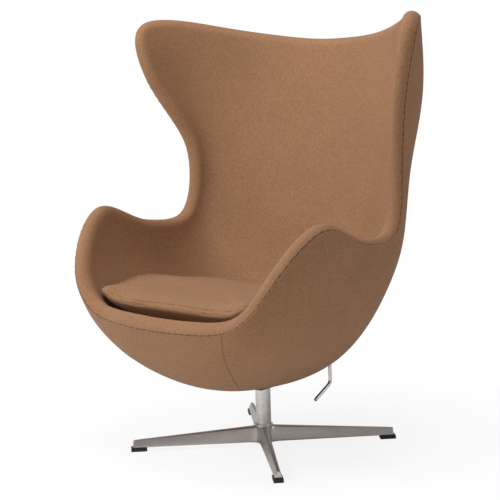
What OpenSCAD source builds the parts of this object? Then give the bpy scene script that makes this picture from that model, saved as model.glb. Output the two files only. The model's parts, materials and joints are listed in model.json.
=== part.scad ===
// Egg shaped lounge chair: padded one piece shell with wings and arms, loose seat cushion,
// tilting seat plate with a hand lever, turning spindle, column and four star base.
// X is to the viewer's right from the front, Y is to the back, Z is up from the floor.

/* [Star base] */
// Length of a leg from the column's middle to its end
leg_reach = 330; // [300:1:345]
// Height of a leg where it leaves the hub
leg_root_h = 40; // [34:1:44]
// Height of a leg at its end
leg_tip_h = 18; // [14:1:24]
// Width of a leg along its bottom edge at the hub
leg_root_w = 26; // [22:1:32]
// Width of a leg along its bottom edge at the end
leg_tip_w = 18; // [16:1:22]
// Share of the bottom width that the narrow top face keeps
leg_top_share = 0.6; // [0.45:0.05:0.8]
// Turn of the base under the chair
leg_turn = 47; // [0:1:89]
// Outer diameter of the hub
hub_d = 50; // [46:1:60]

/* [Glides] */
// Height of a glide
glide_h = 10; // [8:1:14]
// Length of a glide along the leg
glide_len = 40; // [34:1:50]
// Width of a glide across the leg
glide_w = 24; // [20:1:30]
// How far a glide reaches past the end of its leg
glide_over = 5; // [0:1:8]
// Diameter of a glide's screw
glide_screw_d = 4; // [3:0.5:5]

/* [Column] */
// Outer diameter of the column tube
tube_d = 38; // [36:1:42]
// Bore of the column tube
tube_bore = 28; // [26:1:30]
// Height of the column tube's top edge over the floor
tube_top = 152; // [142:1:165]
// Diameter of the turning spindle
spindle_d = 22; // [20:1:23]
// Diameter of the bright collar round the foot of the column
collar_d = 46; // [43:1:49]
// Height of the collar
collar_h = 5; // [3:1:8]
// Thickness of the thrust washer
washer_t = 2.9; // [2.5:0.1:4]

/* [Tilt mechanism] */
// Thickness of the steel plates
plate_t = 5; // [4:0.5:6]
// Clear height between the housing floor and the seat plate
mech_gap = 38; // [36:1:44]
// Width of the housing over its two cheeks
housing_w = 120; // [110:1:130]
// Width of the seat plate
seat_plate_w = 140; // [130:1:160]
// Length of the seat plate, half of it each side of the column
seat_plate_len = 150; // [146:1:156]
// Diameter of the pivot shaft
pivot_d = 12; // [10:1:14]
// How far the pivot lies in front of the column
pivot_fwd = 30; // [25:1:35]
// Diameter of the seat bolts
bolt_d = 8; // [6:1:10]
// Mean diameter of the tilt spring
spring_d = 24; // [20:1:28]
// Wire diameter of the tilt spring
wire_d = 3.5; // [3:0.5:4.5]
// Turns of the tilt spring
spring_turns = 5; // [4:1:6]

/* [Tilt lever] */
// Diameter of the lever rod
lever_d = 9; // [8:0.5:10]
// Distance of the lever's upright from the middle of the chair
lever_out = 130; // [122:1:140]
// Drop of the upright below the lever's axis
lever_drop = 72; // [60:1:80]
// Length of the hand end
lever_hand = 60; // [50:1:70]
// Slope of the hand end below level
lever_slope = 28; // [15:1:40]

/* [Shell] */
// Half thickness of the padded rim
rim_half = 21; // [18:1:24]
// Turn of the rim's roll past its outer side at which the seam is sewn
seam_turn = 22; // [10:1:30]
// Thickness of the stiff core
core_t = 9; // [7:1:11]
// Thickness of the cover cloth
cover_t = 2; // [1.5:0.5:3]
// Diameter of the thick sewing thread
thread_d = 2.4; // [1.6:0.2:3]

/* [Seat cushion] */
// Height of the cushion's side at its front edge
cushion_edge = 20; // [14:1:28]
// Height of the cushion's side at its flanks and back
cushion_thin = 6; // [5:1:12]
// Rise of the top just inside the edge
cushion_rise = 10; // [6:1:16]
// Thickness of the cushion in its middle
cushion_mid = 75; // [68:1:92]
// How far the front edge lifts clear of the seat
cushion_lift = 10; // [0:1:20]
// Clearance between cushion and seat cover
cushion_gap = 6; // [3:0.5:9]
// Thickness of the cushion's cover cloth
case_t = 2; // [1.5:0.5:3]

/* [Hidden] */
e = 0.01;
run = 0.05;
snug = 0.02;
face_gap = 0.1;
touch = 0.3;

// how far the column stands behind the middle of the chair's outline
column_y = 25.7;

// heights of the column and the mechanism, each on top of the one before
base_top = glide_h + leg_root_h;
hub_floor = 4;
tube_foot = glide_h + hub_floor;
tube_plug = 6;
bush_flange = 2;
bush_len = 22;
washer_z = tube_top + bush_flange;
flange_z = washer_z + washer_t + face_gap;
housing_z = flange_z + plate_t;
floor_z = housing_z + plate_t;
plate_z = floor_z + mech_gap;
seat_z = plate_z + plate_t;
flange_d = 60;
spindle_foot = tube_foot + 14;
clip_t = 1.5;
clip_z = spindle_foot + 4;
keep_washer_t = 1.8;
low_bush_z = clip_z + clip_t + keep_washer_t + 0.4;
low_bush_len = 20;

// tilt geometry
tilt_max = 8;
pivot_y = -pivot_fwd;
pivot_z = floor_z + mech_gap / 2;
plate_half = seat_plate_len / 2;
housing_back = plate_half - 7;
cheek_in = housing_w / 2 - plate_t;
lug_t = 5;
lug_out = cheek_in - 2;
lug_r = 14;
cheek_top = plate_z - 9;
bolt_x = seat_plate_w / 2 - 10;
bolt_y = plate_half - 15;
screw_r = 22;
buffer_y = -plate_half + 13;
buffer_x = 35;
stop_d = 14;
block_len = 16;
stop_y = housing_back - 2 - block_len - 5 - stop_d / 2;
stop_h = mech_gap - (stop_y + stop_d / 2 - pivot_y) * tan(tilt_max) - touch;
spring_y = housing_back - 18;
insert_d = bolt_d + 4;
insert_len = 20;

// lever geometry
bracket_t = 4;
pawl_x = housing_w / 2 - 20;
bracket_x0 = pawl_x - 20;
bracket_x1 = pawl_x + 12;
lever_y = plate_half + 33;
lever_z = seat_z + 12;
ear_r = 11;
lever_bush_d = lever_d + 5;
bend_r = 14;
lap = 0.5;
pawl_w = 16;
pawl_h = 6;
pawl_z = plate_z - bracket_t - 15.5;
pawl_y = plate_half - 5;
pawl_len = lever_y + 10 - pawl_y;
guide_wall = 3;
block_w = 20;
arm_w = 10;
arm_r = 4;
arm_neck = 5;
arm_len = lever_z - pawl_z - pawl_h / 2;
pawl_travel = 11.5;
pawl_play = 0.8;

// recess in the underside of the shell that takes the mechanism
recess_x = seat_plate_w / 2 + 15;
recess_front = plate_half + 30;
recess_back = lever_y + 17;
boss_top = 35;
boss_x = seat_plate_w / 2 + 18;
boss_front = plate_half + 15;
boss_back = plate_half;
core_low = 4;
core_share = 0.2;

// the shell's stations from the seat lip up to the top edge of the back, heights from the seat plate:
// outer middle y z, seat side middle y z, edge x y z, two handle lengths, edge handle x y z
rows = [
    [-365, 164, -365, 164, 228, -352, 190, 110, 110, -56,  -8,  -14],
    [-280,  32, -260, 108, 301, -320, 295, 155, 160,   0,  10, -170],
    [-115, -22, -100, 100, 354, -200, 395, 190, 200,   5,  10, -260],
    [  78,  -2,   65,  95, 351,  -40, 345, 196, 180,   5,  20, -220],
    [ 206, 151,  170, 180, 335,   85, 360, 206, 180,   0,  60,  -90],
    [ 252, 360,  230, 370, 335,  105, 530, 210, 190,  10,  95,  -30],
    [ 290, 580,  270, 580, 405,   24, 710, 236, 220,  10, 160,  -10],
    [ 305, 798,  305, 798, 482,  -46, 904, 220, 220, -84, 200,  -40]
];

// where the shell's lowest part lies between lip and top, and how square its front and top corners are
pole_v = 0.32;
front_power = 4;
top_power = 8;

// rings across the shell and the directions round its rim, close together where it turns
shell_rings = 8;
side_dirs = [-52, -47, -43, -39, -34, -27, -19, -11, -3, 5, 11, 16, 20, 24, 29, 35, 40, 43, 46];
top_dirs = [49, 53, 59, 67, 78];
lip_dirs = [-120, -110, -100];
dirs = concat(
    side_dirs,
    top_dirs, [90], [for (i = [len(top_dirs) - 1 : -1 : 0]) 180 - top_dirs[i]],
    [for (i = [len(side_dirs) - 1 : -1 : 0]) 180 - side_dirs[i]],
    lip_dirs, [-90], [for (i = [len(lip_dirs) - 1 : -1 : 0]) -180 - lip_dirs[i]]
);
back_steps = 2 * len(side_dirs) + 2 * len(top_dirs);
lip_steps = len(dirs) - back_steps;

// the cushion's place in the seat, as shares of the shell's width and length
cushion_u = 0.66;
cushion_v = 0.275;
cushion_dv = 0.23;
cushion_flare = 0.34;
cushion_power = 14;
cushion_dirs = concat(
    [for (i = [0 : 22]) i * 10], [225], [for (i = [23 : 31]) i * 10], [315], [for (i = [32 : 35]) i * 10]
);
cushion_reach = 250;
cushion_rings = [0.25, 0.5, 0.7, 0.85, 0.95, 1];

// one station between the given ones
function between(a, b, c, d, f) =
    b + 0.5 * f * ((c - a) + f * ((2 * a - 5 * b + 4 * c - d) + f * (3 * b - a - 3 * c + d)));
function rail(v) =
    let (n = len(rows) - 1)
    let (t = max(0, min(1, v)) * n)
    let (i = min(floor(t), n - 1))
    let (b = rows[i])
    let (c = rows[i + 1])
    let (a = i > 0 ? rows[i - 1] : 2 * b - c)
    let (d = i < n - 1 ? rows[i + 2] : 2 * c - b)
    between(a, b, c, d, t - i);

// a point of the middle face of the outer side (0), of the seat side (1) or between them,
// u across and v from lip to top
function rib(q, side) =
    let (r = rail(q[1]))
    let (s = abs(q[0]))
    let (w = 1 - s)
    let (c = [0, r[0] + (r[2] - r[0]) * side, r[1] + (r[3] - r[1]) * side])
    let (h = c + [r[7] + (r[8] - r[7]) * side, 0, 0])
    let (g = [r[4], r[5], r[6]])
    let (k = g + [r[9], r[10], r[11]])
    let (m = w * w * w * c + 3 * w * w * s * h + 3 * w * s * s * k + s * s * s * g)
    [q[0] < 0 ? -m[0] : m[0], m[1], m[2] + seat_z];

// the ways along the face, the way square to it towards the sitter, and a point off the face
function along_u(q, side) = (rib([q[0] + 0.002, q[1]], side) - rib([q[0] - 0.002, q[1]], side)) / 0.004;
function along_v(q, side) =
    let (a = max(0, q[1] - 0.002))
    let (b = min(1, q[1] + 0.002))
    (rib([q[0], b], side) - rib([q[0], a], side)) / (b - a);
function square_to(q, side) =
    let (n = cross(along_u(q, side), along_v(q, side)))
    n / norm(n);
function at(q, side, off) = rib(q, side) + off * square_to(q, side);

// the rim's tip in direction a, the way across the rim towards the middle, and a point d inside the tip
function soft(a, p) = pow(pow(abs(cos(a)), p) + pow(abs(sin(a)), p), -1 / p);
function tip_uv(a) =
    let (k = soft(a, sin(a) < 0 ? front_power : top_power))
    let (s = k * sin(a))
    [k * cos(a), pole_v + s * (s < 0 ? pole_v : 1 - pole_v)];
function inward(a) =
    let (w = cross(square_to(tip_uv(a), 0), rib(tip_uv(a + 0.5), 0) - rib(tip_uv(a - 0.5), 0)))
    w / norm(w);
function creep(q, w, n) =
    n == 0 ? q :
    let (a = along_u(q, 0))
    let (b = along_v(q, 0))
    let (d = (a * a) * (b * b) - (a * b) * (a * b))
    creep([q[0] + ((b * b) * (a * w) - (a * b) * (b * w)) / d,
        q[1] + ((a * a) * (b * w) - (a * b) * (a * w)) / d], w, n - 1);
function step_in(a, d) = creep(tip_uv(a), inward(a) * d / 3, 3);

// one ring of the flat part, and one ring of the rim's round nose of half thickness h
bends = [for (a = dirs) step_in(a, rim_half)];
function flat_ring(i, side, off) =
    [for (q = bends) at([0, pole_v] + (q - [0, pole_v]) * i / shell_rings, side, off)];
function nose_ring(f, side, h) =
    [for (a = dirs) at(step_in(a, rim_half - h * sin(f)), side, (side == 1 ? 1 : -1) * h * cos(f))];
function flats(side, off) = [for (i = [1 : shell_rings]) flat_ring(i, side, off)];
function back(list) = [for (i = [len(list) - 1 : -1 : 0]) list[i]];
function pole(side, off) = at([0.0001, pole_v], side, off);

// from the seat's middle over the rim's tip to the seam on the outer side
function over_rim(h) = concat(
    flats(1, h),
    [nose_ring(45, 1, h), nose_ring(90, 1, h), nose_ring((90 + seam_turn) / 2, 0, h), nose_ring(seam_turn, 0, h)]
);
// from the middle of the underside out to the seam
function up_to_seam(h) = concat(flats(0, -h), [nose_ring(seam_turn, 0, h)]);

// a four cornered face as two triangles, cut along its shorter diagonal so that neighbours share them
function cut(p, a, b, c, d) =
    norm(p[a] - p[c]) <= norm(p[b] - p[d]) ? [[a, b, c], [a, c, d]] : [[a, b, d], [b, c, d]];

// a closed skin over rings of equal count with one point at each end
module wrap(first, rings, last) {
    n = len(rings[0]);
    m = len(rings);
    points = concat([first], [for (r = rings, p = r) p], [last]);
    faces = concat(
        [for (j = [0 : n - 1]) [0, 1 + (j + 1) % n, 1 + j]],
        [for (i = [0 : m - 2], j = [0 : n - 1])
            let (a = 1 + i * n)
            let (b = a + n)
            let (k = (j + 1) % n)
            each cut(points, a + j, a + k, b + k, b + j)],
        [for (j = [0 : n - 1]) [1 + m * n, 1 + (m - 1) * n + j, 1 + (m - 1) * n + (j + 1) % n]]
    );
    polyhedron(points = points, faces = faces);
}

// a closed panel between two layers of rings, from direction j0 on over the given number of steps
module panel(top, low, top_pole, low_pole, j0, steps) {
    n = len(dirs);
    m = len(top);
    w = steps + 1;
    points = concat(
        [top_pole, low_pole],
        [for (i = [0 : m - 1], j = [0 : steps]) top[i][(j0 + j) % n]],
        [for (i = [0 : m - 1], j = [0 : steps]) low[i][(j0 + j) % n]]
    );
    q = 2 + m * w;
    faces = concat(
        [for (j = [0 : steps - 1]) [0, 2 + j + 1, 2 + j]],
        [for (j = [0 : steps - 1]) [1, q + j, q + j + 1]],
        [for (i = [0 : m - 2], j = [0 : steps - 1])
            let (a = 2 + i * w + j)
            each cut(points, a, a + 1, a + w + 1, a + w)],
        [for (i = [0 : m - 2], j = [0 : steps - 1])
            let (a = q + i * w + j)
            each cut(points, a, a + w, a + w + 1, a + 1)],
        [for (j = [0 : steps - 1])
            let (a = 2 + (m - 1) * w + j)
            let (b = q + (m - 1) * w + j)
            each cut(points, a, a + 1, b + 1, b)],
        [[0, 2, 1], [1, 2, q]],
        [[0, 1, 2 + steps], [1, q + steps, 2 + steps]],
        [for (i = [0 : m - 2])
            let (a = 2 + i * w)
            let (b = q + i * w)
            each cut(points, a, a + w, b + w, b)],
        [for (i = [0 : m - 2])
            let (a = 2 + i * w + steps)
            let (b = q + i * w + steps)
            each cut(points, a, b, b + w, a + w)]
    );
    polyhedron(points = points, faces = faces);
}

// a closed round cord through a ring of points, square to the line
module loop_cord(pts, d, sides) {
    n = len(pts);
    rings = [for (i = [0 : n - 1])
        let (t = pts[(i + 1) % n] - pts[(i + n - 1) % n])
        let (f = t / norm(t))
        let (c = pts[i] - [0, 0, seat_z + 300])
        let (x = cross(f, c))
        let (y = x / norm(x))
        let (z = cross(y, f))
        [for (k = [0 : sides - 1]) pts[i] + d / 2 * (cos(360 * k / sides) * z + sin(360 * k / sides) * y)]];
    points = [for (r = rings, p = r) p];
    faces = [for (i = [0 : n - 1], k = [0 : sides - 1], s = [0, 1])
        let (a = i * sides + k)
        let (b = ((i + 1) % n) * sides + k)
        let (c = ((i + 1) % n) * sides + (k + 1) % sides)
        let (g = i * sides + (k + 1) % sides)
        s == 0 ? [a, b, c] : [a, c, g]];
    polyhedron(points = points, faces = faces);
}

// every piece is drawn round the column's axis and then moved back to the column's place
module stand() {
    translate([0, column_y, 0]) children();
}

module ring(d_out, d_in, z, h) {
    translate([0, 0, z])
        difference() {
            cylinder(d = d_out, h = h, $fn = 64);
            translate([0, 0, -1]) cylinder(d = d_in, h = h + 2, $fn = 64);
        }
}

module rod_x(d, x0, x1, y, z) {
    translate([x0, y, z]) rotate([0, 90, 0]) cylinder(d = d, h = x1 - x0, $fn = 48);
}

module each_leg() {
    for (k = [0 : 3]) rotate([0, 0, leg_turn + 90 * k]) children();
}

module star_leg() {
    r0 = tube_d / 2 + 1;
    a = leg_root_w / 2;
    b = leg_tip_w / 2;
    t = leg_top_share;
    points = concat(
        [for (p = [[-a, 0], [a, 0], [a * t, leg_root_h - 3], [a * t - 2, leg_root_h],
            [2 - a * t, leg_root_h], [-a * t, leg_root_h - 3]]) [r0, p[0], glide_h + p[1]]],
        [for (p = [[-b, 0], [b, 0], [b * t, leg_tip_h - 3], [b * t - 2, leg_tip_h],
            [2 - b * t, leg_tip_h], [-b * t, leg_tip_h - 3]]) [leg_reach, p[0], glide_h + p[1]]]
    );
    polyhedron(points = points, faces = concat(
        [[0, 1, 2, 3, 4, 5], [11, 10, 9, 8, 7, 6]],
        [for (i = [0 : 5]) [i, 6 + i, 6 + (i + 1) % 6]],
        [for (i = [0 : 5]) [i, 6 + (i + 1) % 6, (i + 1) % 6]]));
}

module star_base() {
    stand() color([0.72, 0.72, 0.73])
        difference() {
            union() {
                translate([0, 0, glide_h]) cylinder(d = hub_d, h = leg_root_h, $fn = 64);
                each_leg() star_leg();
            }
            translate([0, 0, tube_foot]) cylinder(d = tube_d + 2 * snug, h = 100, $fn = 64);
            translate([0, 0, glide_h - 1]) cylinder(d = 10.4, h = 20, $fn = 48);
            each_leg()
                translate([leg_reach + glide_over - glide_len / 2, 0, glide_h - 1])
                    cylinder(d = glide_screw_d, h = 1 + leg_tip_h - 4, $fn = 24);
        }
}

module glide(k) {
    stand() color([0.08, 0.08, 0.08])
        rotate([0, 0, leg_turn + 90 * k])
            difference() {
                translate([leg_reach + glide_over - glide_len, -glide_w / 2, 0])
                    cube([glide_len, glide_w, glide_h]);
                translate([leg_reach + glide_over - glide_len / 2, 0, -1]) {
                    cylinder(d = glide_screw_d + 0.4, h = glide_h + 2, $fn = 24);
                    cylinder(d = 2 * glide_screw_d + 1, h = 5, $fn = 32);
                }
            }
}
module glide_back_right() { glide(0); }
module glide_back_left() { glide(1); }
module glide_front_left() { glide(2); }
module glide_front_right() { glide(3); }

module glide_screws() {
    stand() color([0.6, 0.6, 0.62])
        each_leg()
            translate([leg_reach + glide_over - glide_len / 2, 0, 0]) {
                translate([0, 0, 1.5]) cylinder(d = 2 * glide_screw_d, h = 2.5, $fn = 32);
                translate([0, 0, 3]) cylinder(d = glide_screw_d - 2 * snug, h = glide_h + leg_tip_h - 8, $fn = 24);
            }
}

module hub_screw() {
    stand() color([0.6, 0.6, 0.62]) {
        translate([0, 0, glide_h - 5]) cylinder(d = 18, h = 5, $fn = 6);
        translate([0, 0, glide_h - 1]) cylinder(d = 10, h = hub_floor + tube_plug + 3, $fn = 48);
    }
}

module column_tube() {
    stand() color([0.78, 0.78, 0.8])
        difference() {
            translate([0, 0, tube_foot]) cylinder(d = tube_d, h = tube_top - tube_foot, $fn = 96);
            translate([0, 0, tube_foot + tube_plug]) cylinder(d = tube_bore, h = 200, $fn = 64);
            translate([0, 0, tube_foot - 1]) cylinder(d = 10 + 2 * snug, h = 20, $fn = 48);
        }
}

module column_collar() {
    stand() color([0.82, 0.82, 0.84]) ring(collar_d, tube_d + 2 * snug, base_top, collar_h);
}

module upper_bush() {
    stand() color([0.9, 0.9, 0.86]) {
        ring(tube_bore - 2 * snug, spindle_d + 2 * run, tube_top - bush_len, bush_len);
        ring(tube_d - 2, spindle_d + 2 * run, tube_top, bush_flange);
    }
}

module lower_bush() {
    stand() color([0.9, 0.9, 0.86])
        ring(tube_bore - 2 * snug, spindle_d + 2 * run, low_bush_z, low_bush_len);
}

module thrust_washer() {
    stand() color([0.75, 0.62, 0.35]) ring(tube_d, spindle_d + 1, washer_z, washer_t);
}

module spindle() {
    stand() color([0.6, 0.61, 0.63])
        difference() {
            union() {
                translate([0, 0, spindle_foot])
                    cylinder(d = spindle_d, h = flange_z - spindle_foot + 1, $fn = 64);
                translate([0, 0, flange_z]) cylinder(d = flange_d, h = plate_t, $fn = 64);
            }
            ring(spindle_d + 4, spindle_d - 3, clip_z, clip_t);
            for (x = [-1, 1], y = [-1, 1])
                translate([x * screw_r * cos(45), y * screw_r * sin(45), flange_z - 1])
                    cylinder(d = 6, h = plate_t + 2, $fn = 32);
        }
}

module spindle_clip() {
    stand() color([0.35, 0.35, 0.36])
        difference() {
            ring(spindle_d + 3, spindle_d - 3 + 2 * run, clip_z + snug, clip_t - 2 * snug);
            translate([0, -3, clip_z - 1]) cube([spindle_d, 6, clip_t + 2]);
        }
}

module spindle_washer() {
    stand() color([0.6, 0.61, 0.63])
        ring(tube_bore - 1, spindle_d + 0.4, clip_z + clip_t, keep_washer_t);
}

module tilt_housing() {
    stand() color([0.2, 0.2, 0.21])
        difference() {
            union() {
                translate([-housing_w / 2, -plate_half, housing_z])
                    cube([housing_w, plate_half + housing_back, plate_t]);
                for (x = [-housing_w / 2, cheek_in])
                    translate([x, 0, 0])
                        rotate([90, 0, 90])
                            linear_extrude(height = plate_t)
                                polygon([
                                    [-plate_half, housing_z], [housing_back, housing_z],
                                    [housing_back, floor_z + 12], [pivot_y + 30, cheek_top],
                                    [pivot_y - 25, cheek_top], [-plate_half, floor_z + 15]]);
            }
            rod_x(pivot_d + 2 * snug, -housing_w, housing_w, pivot_y, pivot_z);
            for (x = [-1, 1], y = [-1, 1])
                translate([x * screw_r * cos(45), y * screw_r * sin(45), housing_z - 1])
                    cylinder(d = 6.4, h = plate_t + 2, $fn = 32);
        }
}

module housing_screws() {
    stand() color([0.6, 0.6, 0.62])
        for (x = [-1, 1], y = [-1, 1])
            translate([x * screw_r * cos(45), y * screw_r * sin(45), 0]) {
                translate([0, 0, floor_z]) cylinder(d = 10, h = 4, $fn = 6);
                translate([0, 0, flange_z + 0.2])
                    cylinder(d = 6 - 2 * snug, h = floor_z - flange_z, $fn = 32);
            }
}

module pivot_shaft() {
    stand() color([0.7, 0.7, 0.72])
        difference() {
            rod_x(pivot_d, -housing_w / 2 - 5, housing_w / 2 + 5, pivot_y, pivot_z);
            for (s = [-1, 1])
                translate([s * (housing_w / 2 + 2), pivot_y, pivot_z])
                    rotate([0, 90, 0])
                        translate([0, 0, -clip_t / 2])
                            difference() {
                                cylinder(d = pivot_d + 4, h = clip_t, $fn = 48);
                                translate([0, 0, -1]) cylinder(d = pivot_d - 2, h = clip_t + 2, $fn = 48);
                            }
        }
}

module pivot_clips() {
    stand() color([0.35, 0.35, 0.36])
        for (s = [-1, 1])
            translate([s * (housing_w / 2 + 2), pivot_y, pivot_z])
                rotate([0, 90, 0])
                    translate([0, 0, snug - clip_t / 2])
                        difference() {
                            cylinder(d = pivot_d + 5, h = clip_t - 2 * snug, $fn = 48);
                            translate([0, 0, -1]) cylinder(d = pivot_d - 2 + 2 * run, h = clip_t + 2, $fn = 48);
                            translate([0, -2, -1]) cube([pivot_d, 4, clip_t + 2]);
                        }
}

module front_buffers() {
    stand() color([0.1, 0.1, 0.1])
        for (s = [-1, 1])
            translate([s * buffer_x, buffer_y, floor_z])
                cylinder(d = 16, h = mech_gap - face_gap, $fn = 48);
}

module rear_stops() {
    stand() color([0.1, 0.1, 0.1])
        for (s = [-1, 1])
            translate([s * buffer_x, stop_y, floor_z])
                cylinder(d = stop_d, h = stop_h, $fn = 48);
}

// the pawl rests on the block's top when the seat is upright and in its notch when the seat is tilted back
module lock_block() {
    stand() color([0.3, 0.3, 0.32])
        difference() {
            translate([pawl_x - block_w / 2, housing_back - 2 - block_len, floor_z])
                cube([block_w, block_len, pawl_z - touch - floor_z]);
            translate([0, pivot_y, pivot_z])
                rotate([-tilt_max, 0, 0])
                    translate([pawl_x - block_w / 2 - 1, pawl_y - pawl_travel - pawl_play - pivot_y,
                        pawl_z - pawl_play - pivot_z])
                        cube([block_w + 2, 60, pawl_h + 2 * pawl_play]);
        }
}

module seat_plate() {
    stand() color([0.22, 0.22, 0.23])
        difference() {
            union() {
                translate([-seat_plate_w / 2, -plate_half, plate_z])
                    cube([seat_plate_w, seat_plate_len, plate_t]);
                for (s = [-1, 1])
                    translate([s * (lug_out - lug_t / 2) - lug_t / 2, 0, 0]) {
                        translate([0, pivot_y - lug_r, pivot_z]) cube([lug_t, 2 * lug_r, plate_z - pivot_z + 1]);
                        rod_x(2 * lug_r, 0, lug_t, pivot_y, pivot_z);
                    }
            }
            rod_x(pivot_d + 5, -housing_w, housing_w, pivot_y, pivot_z);
            for (x = [-1, 1], y = [-1, 1])
                translate([x * bolt_x, y * bolt_y, plate_z - 1]) cylinder(d = bolt_d + 0.4, h = plate_t + 2, $fn = 40);
        }
}

module pivot_bushes() {
    stand() color([0.9, 0.9, 0.86])
        for (s = [-1, 1])
            difference() {
                rod_x(pivot_d + 5 - 2 * snug, s * (lug_out - lug_t / 2) - lug_t / 2,
                    s * (lug_out - lug_t / 2) + lug_t / 2, pivot_y, pivot_z);
                rod_x(pivot_d + 2 * run, -housing_w, housing_w, pivot_y, pivot_z);
            }
}

module seat_bolts() {
    stand() color([0.6, 0.6, 0.62])
        for (x = [-1, 1], y = [-1, 1])
            translate([x * bolt_x, y * bolt_y, 0]) {
                translate([0, 0, plate_z - 5]) cylinder(d = bolt_d + 6, h = 5, $fn = 6);
                translate([0, 0, plate_z - 1])
                    cylinder(d = bolt_d, h = plate_t + 1 + insert_len - 2, $fn = 40);
            }
}

module threaded_inserts() {
    stand() color([0.8, 0.68, 0.36])
        for (x = [-1, 1], y = [-1, 1])
            translate([x * bolt_x, y * bolt_y, 0])
                ring(insert_d - 2 * snug, bolt_d + 2 * snug, seat_z, insert_len);
}

module tilt_spring() {
    r = spring_d / 2;
    low = floor_z + wire_d / 2 + face_gap;
    rise = mech_gap - wire_d - 2 * face_gap;
    steps = 12 * spring_turns;
    sides = 6;
    rings = [for (i = [0 : steps])
        let (a = 360 * i / 12)
        let (c = [r * cos(a), spring_y + r * sin(a), low + rise * i / steps])
        [for (k = [0 : sides - 1])
            c + wire_d / 2 * (cos(360 * k / sides) * [cos(a), sin(a), 0] + sin(360 * k / sides) * [0, 0, 1])]];
    stand() color([0.45, 0.46, 0.48])
        polyhedron(
            points = [for (q = rings, p = q) p],
            faces = concat(
                [[for (k = [0 : sides - 1]) k]],
                [[for (k = [sides - 1 : -1 : 0]) steps * sides + k]],
                [for (i = [0 : steps - 1], k = [0 : sides - 1], s = [0, 1])
                    let (a = i * sides + k)
                    let (b = a + sides)
                    let (c = (i + 1) * sides + (k + 1) % sides)
                    let (g = i * sides + (k + 1) % sides)
                    s == 0 ? [a, b, c] : [a, c, g]]));
}

module lever_bracket() {
    stand() color([0.22, 0.22, 0.23])
        difference() {
            union() {
                translate([bracket_x0, plate_half - 30, plate_z - bracket_t])
                    cube([bracket_x1 - bracket_x0, lever_y + ear_r - plate_half + 30, bracket_t]);
                for (x = [bracket_x0, bracket_x1 - bracket_t]) {
                    translate([x, lever_y - ear_r, plate_z - 1])
                        cube([bracket_t, 2 * ear_r, lever_z - plate_z + 1]);
                    rod_x(2 * ear_r, x, x + bracket_t, lever_y, lever_z);
                }
            }
            rod_x(lever_bush_d, -housing_w, housing_w, lever_y, lever_z);
            translate([pawl_x - arm_w / 2 - 2, lever_y - 16, plate_z - bracket_t - 1])
                cube([arm_w + 4, 60, bracket_t + 2]);
        }
}

module lever_bushes() {
    stand() color([0.9, 0.9, 0.86])
        for (x = [bracket_x0, bracket_x1 - bracket_t])
            difference() {
                rod_x(lever_bush_d - 2 * snug, x, x + bracket_t, lever_y, lever_z);
                rod_x(lever_d + 2 * run, -housing_w, housing_w, lever_y, lever_z);
            }
}

module pawl_guide() {
    w = pawl_w + 2 * touch;
    stand() color([0.22, 0.22, 0.23])
        difference() {
            translate([pawl_x - w / 2 - guide_wall, pawl_y + 3, pawl_z - touch - guide_wall])
                cube([w + 2 * guide_wall, 18, plate_z - bracket_t - pawl_z + touch + guide_wall]);
            translate([pawl_x - w / 2, pawl_y, pawl_z - touch])
                cube([w, 30, pawl_h + 2 * touch]);
        }
}

module lock_pawl() {
    stand() color([0.62, 0.63, 0.65])
        difference() {
            translate([pawl_x - pawl_w / 2, pawl_y, pawl_z]) cube([pawl_w, pawl_len, pawl_h]);
            translate([pawl_x - arm_w / 2 - lap, lever_y - arm_r - lap, pawl_z - 1])
                cube([arm_w + 2 * lap, 2 * (arm_r + lap), pawl_h + 2]);
        }
}

module lever_rod() {
    x1 = lever_out - bend_r;
    z1 = lever_z - lever_drop + bend_r;
    a = 90 - lever_slope;
    bend_d = lever_d - 0.2;
    stand() color([0.66, 0.67, 0.69]) {
        rod_x(lever_d, bracket_x0 - 6, x1 + lap, lever_y, lever_z);
        translate([x1, lever_y, lever_z - bend_r])
            rotate([90, 0, 0])
                rotate_extrude(angle = 90, $fn = 64)
                    translate([bend_r, 0]) circle(d = bend_d, $fn = 48);
        translate([lever_out, lever_y, z1 - lap])
            cylinder(d = lever_d, h = lever_z - bend_r - z1 + 2 * lap, $fn = 48);
        translate([lever_out, lever_y - bend_r, z1])
            rotate([0, 90, 0])
                rotate([0, 0, 90 - a])
                    rotate_extrude(angle = a, $fn = 64)
                        translate([bend_r, 0]) circle(d = bend_d, $fn = 48);
        translate([lever_out, lever_y - bend_r + bend_r * cos(a), z1 - bend_r * sin(a)])
            rotate([90 + lever_slope, 0, 0])
                translate([0, 0, -lap]) cylinder(d = lever_d, h = lever_hand, $fn = 48);
    }
}

module lock_arm() {
    x0 = pawl_x - arm_w / 2;
    stand() color([0.3, 0.3, 0.32])
        difference() {
            union() {
                rod_x(lever_d + 10, x0, x0 + arm_w, lever_y, lever_z);
                rod_x(2 * arm_r, x0, x0 + arm_w, lever_y, lever_z - arm_len);
                translate([x0, lever_y - arm_neck / 2, lever_z - arm_len])
                    cube([arm_w, arm_neck, arm_len]);
            }
            rod_x(lever_d + 2 * snug, -housing_w, housing_w, lever_y, lever_z);
        }
}

// the boss on the core that the seat plate is bolted to, and the recess round the mechanism
module boss_block(grow) {
    translate([-boss_x - grow, -boss_front - grow, seat_z - grow])
        cube([2 * (boss_x + grow), boss_front + boss_back + 2 * grow, boss_top + 2 * grow]);
}

module recess() {
    translate([-recess_x, -recess_front, 0])
        cube([2 * recess_x, recess_front + recess_back, seat_z]);
    translate([-recess_x, boss_back, 0])
        cube([2 * recess_x, recess_back - boss_back, seat_z + boss_top]);
}

// the slot in the underside through which the lever's upright comes out and swings
module lever_slot() {
    translate([recess_x - 1, lever_y - 24, 0])
        cube([lever_out + lever_d + 6 - recess_x, 36, lever_z + lever_d + 2]);
}

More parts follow.
